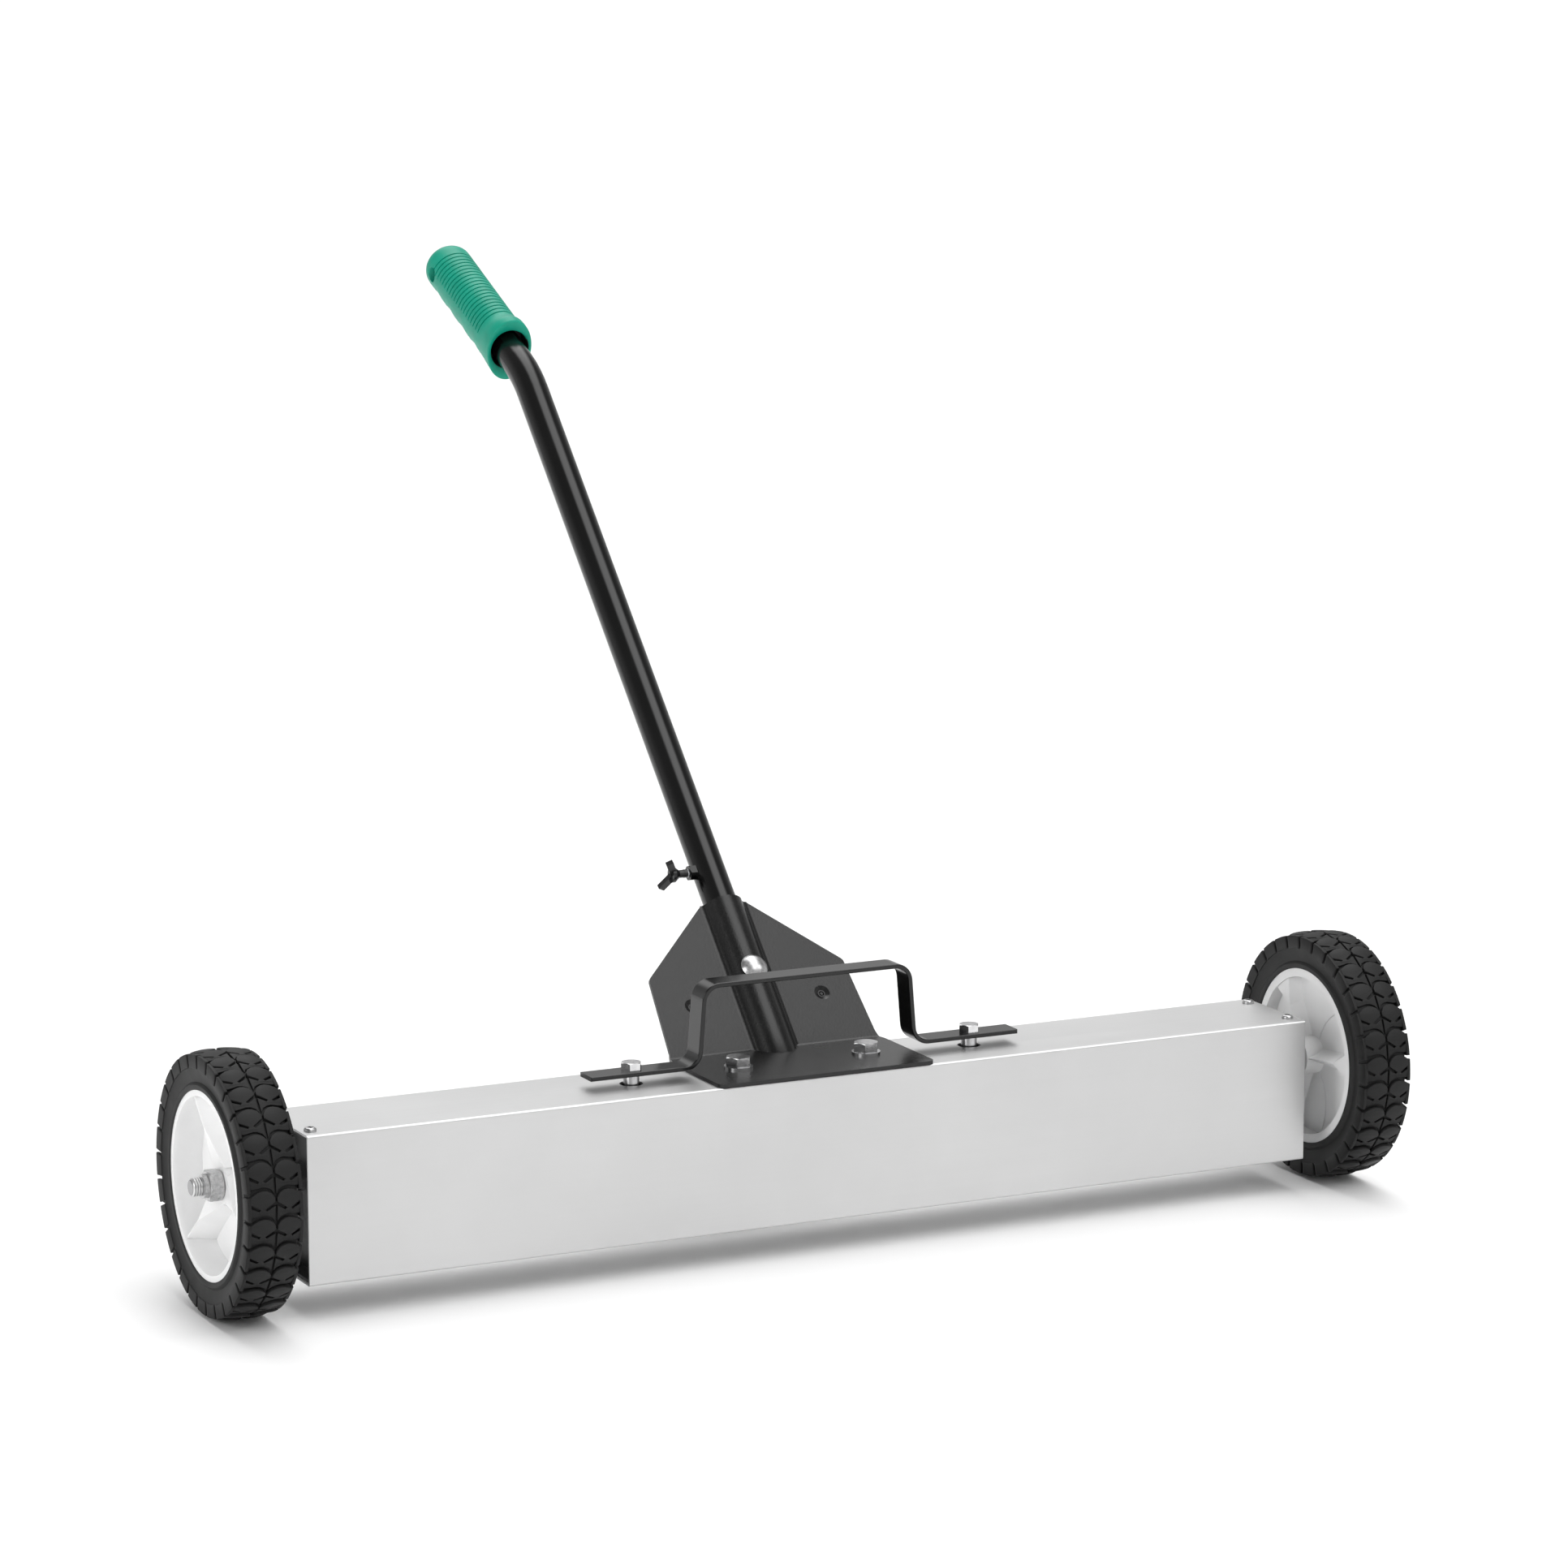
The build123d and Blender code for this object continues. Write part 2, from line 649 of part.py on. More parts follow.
def rear_saddle():
    """Pressed strap behind the plate: its two ears are riveted and its middle hugs the collar."""
    half_length = dimple_spacing / 2 + saddle_ear
    with BuildPart() as saddle:
        with BuildSketch(handle_section.offset(saddle_low)):
            with Locations((0, bracket_sheet)):
                Rectangle(2 * half_length, saddle_sheet, align=(Align.CENTER, Align.MIN))
            with Locations((0, channel_depth)):
                Circle(outer_radius + saddle_sheet)
                Circle(outer_radius, mode=Mode.SUBTRACT)
            with Locations((0, bracket_sheet)):
                Rectangle(
                    2 * half_length,
                    4 * outer_radius,
                    align=(Align.CENTER, Align.MAX),
                    mode=Mode.SUBTRACT,
                )
        extrude(amount=saddle_high - saddle_low)
        ends = saddle.edges().filter_by(lambda edge: abs(edge.center().X) > half_length - 0.1)
        fillet(ends.filter_by(Axis(bend_point, plate_front)), plate_corner)
        with BuildSketch(plate_plane):
            with Locations((dimple_spacing / 2, dimple_height), (-dimple_spacing / 2, dimple_height)):
                Circle(rivet_diameter / 2)
            with Locations((0, carriage_bolt_height)):
                Circle(carriage_bolt_diameter / 2 + hole_clearance)
        extrude(amount=-4 * outer_radius, mode=Mode.SUBTRACT)
    save(saddle, "rear_saddle")


def saddle_rivets():
    """Two blind rivets that join the saddle to the plate, their pins down in the dimples."""
    grip_depth = bracket_sheet + saddle_sheet
    sunk = bracket_sheet * 0.6
    with BuildPart() as rivets:
        for x in (-dimple_spacing / 2, dimple_spacing / 2):
            foot = bend_point + Vector(x, 0, 0) + along_handle * dimple_height - plate_front * grip_depth
            place = Plane(origin=foot, x_dir=(1, 0, 0), z_dir=plate_front)
            with BuildSketch(place):
                Circle(rivet_diameter / 2)
            extrude(amount=grip_depth - sunk)
            with BuildSketch(place.offset(grip_depth - sunk)):
                Circle(rivet_ring / 2)
                Circle(rivet_core / 2, mode=Mode.SUBTRACT)
            extrude(amount=-sunk, mode=Mode.SUBTRACT)
            with BuildSketch(place):
                Circle(rivet_diameter)
            extrude(amount=-rivet_diameter / 2, taper=30)
    save(rivets, "saddle_rivets")


def carriage_bolt():
    """Domed bolt through the channel, the collar, the inner tube and the saddle."""
    seat = bend_point + along_handle * carriage_bolt_height + plate_front * channel_crest
    place = Plane(origin=seat, x_dir=(1, 0, 0), z_dir=plate_front)
    through = channel_crest + channel_depth + outer_radius + saddle_sheet
    nut_height = release_nut_height
    dome_radius = ((carriage_dome / 2) ** 2 + carriage_dome_height**2) / (2 * carriage_dome_height)
    with BuildPart() as bolt:
        with BuildSketch(upright(place)):
            with BuildLine():
                Line((0, 0), (carriage_dome / 2, 0))
                RadiusArc((carriage_dome / 2, 0), (0, carriage_dome_height), -dome_radius)
                Line((0, carriage_dome_height), (0, 0))
            make_face()
        revolve(axis=axis_of(place))
        with BuildSketch(place):
            Circle(carriage_bolt_diameter / 2)
        extrude(amount=-(through + nut_height + 3.0))
    save(bolt, "carriage_bolt")
    nut_seat = Plane(origin=seat - plate_front * through, x_dir=(1, 0, 0), z_dir=-plate_front)
    group("carriage_nut", [hex_nut(nut_seat, carriage_bolt_diameter, release_bolt_hex, nut_height)])


def bracket_fasteners():
    """Two hexagon bolts with washers above the base flange, washers and nuts under the housing's top."""
    bolts = []
    washers = []
    nuts = []
    bore = bracket_bolt_diameter / 2 + thread_fit
    under_top = housing_top - housing_wall
    for x in (-bracket_bolt_spacing / 2, bracket_bolt_spacing / 2):
        seat = Plane(origin=(x, 0, flange_top + washer_thickness))
        size = (bracket_bolt_diameter, bracket_bolt_hex, bracket_bolt_head, bracket_bolt_length)
        bolts.append(hex_bolt(seat, *size))
        above = Plane(origin=(x, 0, flange_top))
        washers.append(ring(above, bore, washer_diameter / 2, washer_thickness))
        below = Plane(origin=(x, 0, under_top), z_dir=(0, 0, -1))
        washers.append(ring(below, bore, washer_diameter / 2, washer_thickness))
        nut_seat = below.offset(washer_thickness)
        nuts.append(hex_nut(nut_seat, bracket_bolt_diameter, bracket_bolt_hex, bracket_nut_height))
    group("bracket_bolts", bolts)
    group("bracket_washers", washers)
    group("bracket_nuts", nuts)


# ---- telescopic handle -----------------------------------------------------------------------
def along_tube(distance):
    """Plane square to the handle, at a distance up from the bend line, centred on the handle."""
    return Plane(origin=handle_root + along_handle * distance, x_dir=(1, 0, 0), z_dir=along_handle)


def foot_tube(name, start, end, bore_radius, wall_radius):
    """Tube at the foot of the handle, cross-drilled for the carriage bolt."""
    middle = handle_root + along_handle * carriage_bolt_height
    with BuildPart() as tube:
        with BuildSketch(along_tube(start)):
            Circle(wall_radius)
            Circle(bore_radius, mode=Mode.SUBTRACT)
        extrude(amount=end - start)
        with BuildSketch(Plane(origin=middle, x_dir=(1, 0, 0), z_dir=plate_front)):
            Circle(carriage_bolt_diameter / 2 + hole_clearance)
        extrude(amount=2 * outer_radius, both=True, mode=Mode.SUBTRACT)
    save(tube, name)


def handle_tube():
    """Outer tube: slides over the inner tube, bends towards the user and ends inside the grip."""
    with BuildPart() as tube:
        with BuildLine():
            FilletPolyline(tube_start, handle_corner, tube_end, radius=handle_bend_radius)
        with BuildSketch(Plane(origin=tube_start, x_dir=(1, 0, 0), z_dir=along_handle)):
            Circle(outer_radius)
            Circle(outer_radius - tube_wall, mode=Mode.SUBTRACT)
        sweep()
        with BuildSketch(Plane(origin=clamp_centre, x_dir=(0, 1, 0), z_dir=(-1, 0, 0))):
            Circle(clamp_thread / 2 + body_gap)
        extrude(amount=2 * outer_radius, mode=Mode.SUBTRACT)
    save(tube, "handle_tube")


def grip_station(distance):
    """Half width, half height and rise of the grip's oval section at a distance from its mouth."""
    body_start = grip_collar_length + grip_flare
    share = (distance - body_start) / (grip_length - grip_end_dome - body_start)
    if share < 0:
        flare = max(0.0, (distance - grip_collar_length) / grip_flare)
        width = grip_collar_half_width + (grip_half_width - grip_collar_half_width) * flare
        height = grip_collar_half_height + (grip_half_height - grip_collar_half_height) * flare
        return width, height, grip_collar_rise * (1 - flare)
    width = grip_half_width + (grip_end_radius - grip_half_width) * share
    height = grip_half_height + (grip_end_radius - grip_half_height) * share
    return width, height, 0.0


def grip_section(distance):
    """Oval section of the grip, drawn into the open sketch."""
    width, height, rise = grip_station(distance)
    with Locations((0, -rise)):
        Ellipse(width, height)


def grip():
    """Moulded grip: flared mouth, grooved oval body, finger waves and a domed, drilled end."""
    mouth_plane = Plane(origin=grip_mouth, x_dir=(1, 0, 0), z_dir=along_grip)
    side_plane = Plane(origin=grip_mouth, x_dir=along_grip, z_dir=(1, 0, 0))
    body_start = grip_collar_length + grip_flare
    dome_start = grip_length - grip_end_dome
    stations = (0.0, grip_collar_length, body_start, dome_start)
    with BuildPart() as handle_grip:
        for start, end in zip(stations, stations[1:]):
            with BuildSketch(mouth_plane.offset(start)):
                grip_section(start)
            with BuildSketch(mouth_plane.offset(end)):
                grip_section(end)
            loft()
        with BuildSketch(mouth_plane.offset(dome_start)):
            Circle(grip_end_radius)
        extrude(amount=grip_end_dome)
        fillet(handle_grip.edges().sort_by(Axis(grip_mouth, along_grip))[-1], grip_end_dome - body_gap)
        for index in range(grip_groove_count):
            start = grip_groove_start + grip_groove_pitch * index
            width, height, rise = grip_station(start)
            with BuildSketch(mouth_plane.offset(start)):
                with Locations((0, -grip_groove_line)):
                    Rectangle(3 * width, 2 * height, align=(Align.CENTER, Align.MAX))
                with Locations((0, -rise)):
                    Ellipse(width - grip_groove_depth, height - grip_groove_depth, mode=Mode.SUBTRACT)
            extrude(amount=grip_groove_width, mode=Mode.SUBTRACT)
        with BuildSketch(side_plane):
            for index in range(grip_wave_count):
                start = grip_wave_start + grip_wave_pitch * index
                drop = grip_station(start)[1] + grip_wave_radius - grip_wave_depth
                with Locations((start, -drop)):
                    Circle(grip_wave_radius)
        extrude(amount=2 * grip_half_width, both=True, mode=Mode.SUBTRACT)
        with BuildSketch(mouth_plane):
            Circle(outer_radius)
        extrude(amount=grip_length - grip_solid_end, mode=Mode.SUBTRACT)
        with BuildSketch(mouth_plane):
            with Locations((0, -grip_collar_rise / 2)):
                Circle(outer_radius + grip_mouth_gap)
        extrude(amount=grip_mouth_depth, mode=Mode.SUBTRACT)
        with BuildSketch(Plane(origin=hang_hole, x_dir=(0, 1, 0), z_dir=(1, 0, 0))):
            Circle(hang_hole_diameter / 2)
        extrude(amount=2 * grip_end_radius, both=True, mode=Mode.SUBTRACT)
    save(handle_grip, "grip")


def clamp_nut():
    """Nut welded to the side of the outer tube, shaped to the tube's curve."""
    place = Plane(origin=clamp_centre, x_dir=along_handle, z_dir=(-1, 0, 0))
    nut_foot = outer_radius / 2
    block = hex_nut(place.offset(nut_foot), clamp_thread, clamp_nut_hex, clamp_nut_top - nut_foot)
    with BuildPart() as nut:
        add(block)
        with BuildSketch(along_tube(clamp_height - clamp_nut_hex)):
            Circle(outer_radius)
        extrude(amount=2 * clamp_nut_hex, mode=Mode.SUBTRACT)
        with BuildSketch(place):
            Circle(clamp_thread / 2 + running_fit)
        extrude(amount=2 * clamp_nut_top, mode=Mode.SUBTRACT)
    save(nut, "clamp_nut")


def wing_screw():
    """Wing screw whose tip bears on the inner tube: thread, neck, conical boss and two splayed wings."""
    lean = math.radians(wing_turn)
    across_wings = Vector(0, -math.sin(lean), math.cos(lean))
    axis_plane = Plane(origin=clamp_centre, x_dir=(0, 1, 0), z_dir=(-1, 0, 0))
    tip = inner_tube_radius + running_fit
    neck_start = clamp_nut_top + wing_thread_shown
    cone_start = neck_start + wing_neck
    rim_start = cone_start + wing_boss_taper
    boss_end = rim_start + wing_boss_rim
    wing_foot = clamp_centre + Vector(-rim_start, 0, 0)
    wing_plane = Plane(origin=wing_foot, x_dir=across_wings, z_dir=across_wings.cross(Vector(-1, 0, 0)))
    splay = math.degrees(math.atan2(wing_rise, wing_reach))
    length = math.hypot(wing_rise, wing_reach)
    with BuildPart() as screw:
        with BuildSketch(upright(axis_plane)):
            with BuildLine():
                Polyline(
                    (0, tip),
                    (clamp_thread / 2, tip),
                    (clamp_thread / 2, neck_start),
                    (wing_neck_radius, neck_start),
                    (wing_neck_radius, cone_start),
                    (wing_boss_radius, rim_start),
                    (wing_boss_radius, boss_end),
                    (0, boss_end),
                    close=True,
                )
            make_face()
        revolve(axis=axis_of(axis_plane))
        with BuildSketch(wing_plane):
            for angle in (splay, 180 - splay):
                with Locations(Location((0, 0, 0), (0, 0, 1), angle)):
                    Rectangle(length, wing_width, align=(Align.MIN, Align.CENTER))
        extrude(amount=wing_thickness / 2, both=True)
    save(screw, "wing_screw")


# ---- release strap and magnets ---------------------------------------------------------------
def release_handle():
    """Flat steel strap bent into a bail, drilled for its two bolts."""
    foot_top = strap_foot + strap_thickness
    inner_bend = strap_bend - strap_thickness
    with BuildPart() as strap:
        with BuildSketch(Plane.XZ):
            with BuildLine():
                FilletPolyline(
                    (-strap_length / 2, foot_top),
                    (-strap_leg_foot, foot_top),
                    (-strap_leg_top, strap_top),
                    (strap_leg_top, strap_top),
                    (strap_leg_foot, foot_top),
                    (strap_length / 2, foot_top),
                    radius=[inner_bend, strap_bend, strap_bend, inner_bend],
                )
                offset(amount=strap_thickness, side=Side.RIGHT)
            make_face()
        extrude(amount=strap_width / 2, both=True)
        long_edges = strap.edges().filter_by_position(Axis.Y, -strap_width, -strap_width / 2 + 0.01)
        long_edges += strap.edges().filter_by_position(Axis.Y, strap_width / 2 - 0.01, strap_width)
        fillet(long_edges, strap_edge)
        with BuildSketch(Plane.XY.offset(foot_top)):
            with GridLocations(release_spacing, 0, 2, 1):
                Circle(release_bolt_diameter / 2 + hole_clearance / 2)
        extrude(amount=-strap_thickness, mode=Mode.SUBTRACT)
    save(strap, "release_handle")


def release_fasteners():
    """Two long bolts run from the strap through spacer sleeves down to the magnet tray."""
    bolts = []
    sleeves = []
    nuts = []
    head_seat = strap_foot + strap_thickness
    bolt_length = head_seat - tray_ceiling + release_nut_height + 2.0
    bore = release_bolt_diameter / 2 + thread_fit
    for x in (-release_spacing / 2, release_spacing / 2):
        seat = Plane(origin=(x, 0, head_seat))
        bolt = hex_bolt(seat, release_bolt_diameter, release_bolt_hex, release_bolt_head, bolt_length)
        bolts.append(bolt)
        sleeve_foot = Plane(origin=(x, 0, tray_top))
        sleeves.append(ring(sleeve_foot, bore, sleeve_diameter / 2, strap_foot - tray_top))
        below = Plane(origin=(x, 0, tray_ceiling), z_dir=(0, 0, -1))
        nuts.append(hex_nut(below, release_bolt_diameter, release_bolt_hex, release_nut_height))
    group("release_bolts", bolts)
    group("release_sleeves", sleeves)
    group("release_nuts", nuts)


def magnet_tray():
    """Steel channel, open downwards, that carries the magnets and closes their field."""
    middle = Plane.YZ.offset(-tray_length / 2)
    with BuildPart() as tray:
        with BuildSketch(middle):
            with Locations((0, tray_bottom)):
                Rectangle(tray_width, tray_height, align=(Align.CENTER, Align.MIN))
                Rectangle(
                    tray_width - 2 * tray_sheet,
                    tray_height - tray_sheet,
                    align=(Align.CENTER, Align.MIN),
                    mode=Mode.SUBTRACT,
                )
        extrude(amount=tray_length)
        with BuildSketch(Plane.XY.offset(tray_top)):
            with GridLocations(release_spacing, 0, 2, 1):
                Circle(release_bolt_diameter / 2 + hole_clearance / 2)
        extrude(amount=-tray_sheet, mode=Mode.SUBTRACT)
    save(tray, "magnet_tray")


def magnet_row():
    """Middle points of the magnet blocks on one side, clear of the release bolts."""
    pitch = magnet_length + magnet_gap
    release_x = release_spacing / 2
    inner_count = int((release_x - magnet_bolt_room) // pitch)
    outer_room = tray_length / 2 - release_x - magnet_bolt_room
    outer_count = int((outer_room + magnet_gap) // pitch)
    inner = [pitch * (index + 0.5) for index in range(inner_count)]
    outer_start = release_x + magnet_bolt_room + magnet_length / 2
    outer = [outer_start + pitch * index for index in range(outer_count)]
    return inner + outer


def magnet_blocks():
    """Row of ferrite blocks bonded under the tray's web."""
    depth = tray_width - 2 * tray_sheet - 2 * magnet_side_gap
    with BuildPart() as blocks:
        for x in magnet_row():
            for side in (-1, 1):
                with Locations((side * x, 0, tray_ceiling)):
                    Box(magnet_length, depth, magnet_height, align=(Align.CENTER, Align.CENTER, Align.MAX))
    save(blocks, "magnet_blocks")


# ---- build -----------------------------------------------------------------------------------
os.makedirs("parts", exist_ok=True)
housing_shell()
end_cap_screws()
for wheel_side, wheel_word in ((-1, "left"), (1, "right")):
    end_cap(wheel_side, f"{wheel_word}_end_cap")
    axle_parts(wheel_side, wheel_word)
    tyre(wheel_side, f"{wheel_word}_tyre")
    hub(wheel_side, left_phase if wheel_side < 0 else right_phase, f"{wheel_word}_hub")
handle_bracket()
bracket_fasteners()
rear_saddle()
saddle_rivets()
carriage_bolt()
foot_tube("tube_collar", collar_start, collar_end, inner_tube_radius, outer_radius)
inner_bore = inner_tube_radius - inner_tube_wall
foot_tube("inner_tube", collar_start, inner_tube_top, inner_bore, inner_tube_radius)
handle_tube()
grip()
clamp_nut()
wing_screw()
release_handle()
release_fasteners()
magnet_tray()
magnet_blocks()
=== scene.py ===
import json
import math

import bmesh
import bpy
from mathutils import Matrix, Vector


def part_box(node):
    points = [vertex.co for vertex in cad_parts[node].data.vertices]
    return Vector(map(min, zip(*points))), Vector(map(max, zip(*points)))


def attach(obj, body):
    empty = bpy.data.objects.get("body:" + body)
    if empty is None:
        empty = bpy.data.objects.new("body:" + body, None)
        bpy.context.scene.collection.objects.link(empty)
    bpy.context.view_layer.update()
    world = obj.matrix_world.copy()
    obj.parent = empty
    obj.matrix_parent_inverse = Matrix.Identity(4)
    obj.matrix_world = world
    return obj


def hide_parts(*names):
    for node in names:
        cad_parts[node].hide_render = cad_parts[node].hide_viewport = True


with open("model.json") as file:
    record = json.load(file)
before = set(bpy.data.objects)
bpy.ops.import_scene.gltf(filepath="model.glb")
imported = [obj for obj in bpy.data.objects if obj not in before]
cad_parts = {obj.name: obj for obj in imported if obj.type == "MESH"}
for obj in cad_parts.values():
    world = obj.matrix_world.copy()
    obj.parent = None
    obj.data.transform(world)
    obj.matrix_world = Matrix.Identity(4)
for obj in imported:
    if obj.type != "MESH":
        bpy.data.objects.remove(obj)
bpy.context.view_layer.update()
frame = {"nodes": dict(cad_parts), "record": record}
nodes = frame["nodes"]
record = frame["record"]


# ---- housing ---------------------------------------------------------------------------------
# The long box is one rolled aluminium sheet, folded round and left bare. The mill's rolls leave a
# satin surface with faint streaks along the sheet.
def linear(hex_colour):
    """Linear colour of an sRGB hex value."""
    parts = [int(hex_colour[i : i + 2], 16) / 255 for i in (1, 3, 5)]
    return tuple(c / 12.92 if c <= 0.04045 else ((c + 0.055) / 1.055) ** 2.4 for c in parts) + (1.0,)


def add(tree, kind, links=None, values=None, **settings):
    """Adds one node to a material with its settings, its socket values and its incoming links."""
    made = tree.nodes.new("ShaderNode" + kind)
    for name, value in settings.items():
        setattr(made, name, value)
    for socket, value in (values or {}).items():
        made.inputs[socket].default_value = value
    for socket, source in (links or {}).items():
        tree.links.new(source, made.inputs[socket])
    return made


def new_finish(name, colour, **values):
    """A material with one shader: returns it, its tree, the shader and the object coordinates."""
    material = bpy.data.materials.new(name)
    material.use_nodes = True
    tree = material.node_tree
    shader = tree.nodes["Principled BSDF"]
    shader.inputs["Base Color"].default_value = linear(colour)
    for socket, value in values.items():
        shader.inputs[socket.replace("_", " ")].default_value = value
    place = add(tree, "TexCoord").outputs["Object"]
    return material, tree, shader, place


def mottle(tree, shader, source, dark, light):
    """Colour that wanders between two shades as a 0 to 1 pattern does."""
    ramp = add(tree, "ValToRGB", {"Fac": source})
    ramp.color_ramp.elements[0].color = linear(dark)
    ramp.color_ramp.elements[1].color = linear(light)
    ramp.color_ramp.elements[0].position = 0.3
    ramp.color_ramp.elements[1].position = 0.7
    tree.links.new(ramp.outputs["Color"], shader.inputs["Base Color"])
    return ramp


def vary(tree, shader, socket, source, low, high):
    """A shader value that follows a 0 to 1 pattern between two limits."""
    spread = add(tree, "MapRange", {"Value": source}, {"To Min": low, "To Max": high})
    tree.links.new(spread.outputs["Result"], shader.inputs[socket])


def emboss(tree, shader, source, height_mm, strength=1.0):
    """Surface relief of a real height in millimetres."""
    relief = add(tree, "Bump", {"Height": source}, {"Strength": strength, "Distance": height_mm / 1000})
    tree.links.new(relief.outputs["Normal"], shader.inputs["Normal"])
    return relief


def give(material, *names):
    """CAD pieces that take this finish."""
    for name in names:
        for slot in nodes[name].material_slots:
            slot.material = material


# bare rolled aluminium: bright, soft reflections, streaks about 2 mm apart along the sheet
rolled_aluminium, tree, shader, place = new_finish(
    "rolled_aluminium_sheet", "#cdcdcd", Metallic=1.0, Roughness=0.44
)
stretched = add(tree, "Mapping", {"Vector": place}, {"Scale": (4.0, 500.0, 500.0)})
streaks = add(tree, "TexNoise", {"Vector": stretched.outputs["Vector"]}, {"Scale": 1.0, "Detail": 4.0})
clouds = add(tree, "TexNoise", {"Vector": place}, {"Scale": 9.0, "Detail": 3.0})
mottle(tree, shader, clouds.outputs["Fac"], "#cacaca", "#d0d0d0")
vary(tree, shader, "Roughness", streaks.outputs["Fac"], 0.36, 0.48)
emboss(tree, shader, streaks.outputs["Fac"], 0.02, 0.25)
give(rolled_aluminium, "housing_shell")

# ---- end caps --------------------------------------------------------------------------------
# Each end is closed by a pressed steel pan, powder coated black, set inside the sheet. The
# powder cures to a fine even grain with a low sheen.
powder_black, tree, shader, place = new_finish(
    "satin_black_powder_coat", "#141415", Roughness=0.42, IOR=1.5
)
grain = add(tree, "TexNoise", {"Vector": place}, {"Scale": 1100.0, "Detail": 2.0})
wander = add(tree, "TexNoise", {"Vector": place}, {"Scale": 40.0, "Detail": 3.0})
mottle(tree, shader, wander.outputs["Fac"], "#111112", "#19191a")
vary(tree, shader, "Roughness", grain.outputs["Fac"], 0.34, 0.5)
emboss(tree, shader, grain.outputs["Fac"], 0.05, 0.35)
give(powder_black, "left_end_cap", "right_end_cap")

# ---- screws, bolts, nuts and washers -----------------------------------------------------------
# Most fasteners are steel, bright zinc plated in a barrel. Plating leaves a slightly cloudy,
# cool metal with fine scuffs from tumbling.
bright_zinc, tree, shader, place = new_finish(
    "bright_zinc_plate", "#d6d6d7", Metallic=1.0, Roughness=0.2
)
clouds = add(tree, "TexNoise", {"Vector": place}, {"Scale": 260.0, "Detail": 4.0})
mottle(tree, shader, clouds.outputs["Fac"], "#cacacb", "#e2e2e3")
vary(tree, shader, "Roughness", clouds.outputs["Fac"], 0.14, 0.26)
emboss(tree, shader, clouds.outputs["Fac"], 0.02, 0.15)
give(
    bright_zinc,
    "bracket_bolts",
    "bracket_washers",
    "bracket_nuts",
    "carriage_nut",
    "release_bolts",
    "release_sleeves",
    "release_nuts",
    "left_axle_nut",
    "right_axle_nut",
    "left_axle_spacer",
    "right_axle_spacer",
)

# ---- axles -----------------------------------------------------------------------------------
# M12 bolts with a rolled thread, 1.75 mm pitch, under the same zinc. The lock nuts, the carriage
# bolt and the end cap screws have a duller and more scuffed zinc.
thread_pitch = 0.00175
zinc_thread, tree, shader, place = new_finish(
    "zinc_plated_thread", "#c4c6c9", Metallic=1.0, Roughness=0.3
)
turns = add(
    tree,
    "TexWave",
    {"Vector": place},
    {"Scale": 2 * math.pi / (20 * thread_pitch)},
    bands_direction="X",
    wave_profile="SIN",
)
# painted shade: the thread's roots are coloured darker and its crests lighter, following the same turns as
# the relief
mottle(tree, shader, turns.outputs["Fac"], "#9a9a9b", "#dadada")
emboss(tree, shader, turns.outputs["Fac"], 0.5, 0.5)
give(zinc_thread, "left_axle_bolt", "right_axle_bolt")

dull_zinc, tree, shader, place = new_finish("dull_zinc_plate", "#b3b5b6", Metallic=1.0, Roughness=0.34)
scuffs = add(tree, "TexNoise", {"Vector": place}, {"Scale": 420.0, "Detail": 6.0, "Roughness": 0.65})
mottle(tree, shader, scuffs.outputs["Fac"], "#a2a2a3", "#d2d2d2")
vary(tree, shader, "Roughness", scuffs.outputs["Fac"], 0.22, 0.4)
emboss(tree, shader, scuffs.outputs["Fac"], 0.05, 0.25)
give(dull_zinc, "left_lock_nut", "right_lock_nut", "carriage_bolt", "end_cap_screws")

# ---- hubs ------------------------------------------------------------------------------------
# One injection moulding in white polypropylene: barrel, dished web, spokes and boss. The mould
# was polished, so the plastic is smooth with a soft waxy sheen.
white_polypropylene, tree, shader, place = new_finish(
    "white_moulded_polypropylene", "#f4f4f4", Roughness=0.38, IOR=1.49, Subsurface_Weight=0.3
)
shader.inputs["Subsurface Radius"].default_value = (1, 1, 1)
shader.inputs["Subsurface Scale"].default_value = 0.006
flow = add(tree, "TexNoise", {"Vector": place}, {"Scale": 30.0, "Detail": 3.0})
mottle(tree, shader, flow.outputs["Fac"], "#f2f2f2", "#f7f7f7")
vary(tree, shader, "Roughness", flow.outputs["Fac"], 0.3, 0.42)
skin = add(tree, "TexNoise", {"Vector": place}, {"Scale": 160.0, "Detail": 2.0})
emboss(tree, shader, skin.outputs["Fac"], 0.06, 0.3)
give(white_polypropylene, "left_hub", "right_hub")

# ---- tyres -----------------------------------------------------------------------------------
# Solid rubber tyres, compression moulded: a plain bead ring, a slightly sunk sidewall, shoulder
# lugs and two rows of shield-shaped tread blocks cut apart by narrow arched grooves.
MM = 0.001
tread_pitches = 30
tread_radius = 89.0
tread_depth = 3.4
pitch_length = 2 * math.pi * tread_radius / tread_pitches
groove = 2.2
block_fall = 0.5
tread_phase = 0.02
arch_flare = 0.09
arch_flare_start = 11
lug_gap = 2.4
lug_width = 2.6
lug_height = 9.4
lug_lead = 3.0
lug_across = 17.6
lug_sunk = 3.6


def finished_piece(name, shape, material, body, slot, *stands_for, sharp=32):
    """Turns a bmesh into a named piece that rides on a body and stands for CAD nodes."""
    bmesh.ops.remove_doubles(shape, verts=shape.verts, dist=1e-6)
    bmesh.ops.recalc_face_normals(shape, faces=shape.faces)
    mesh = bpy.data.meshes.new(name)
    shape.to_mesh(mesh)
    shape.free()
    mesh.shade_smooth()
    mesh.set_sharp_from_angle(angle=math.radians(sharp))
    mesh.materials.append(material)
    made = bpy.data.objects.new(name, mesh)
    bpy.context.scene.collection.objects.link(made)
    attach(made, body)
    if stands_for:
        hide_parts(*stands_for)
    return made


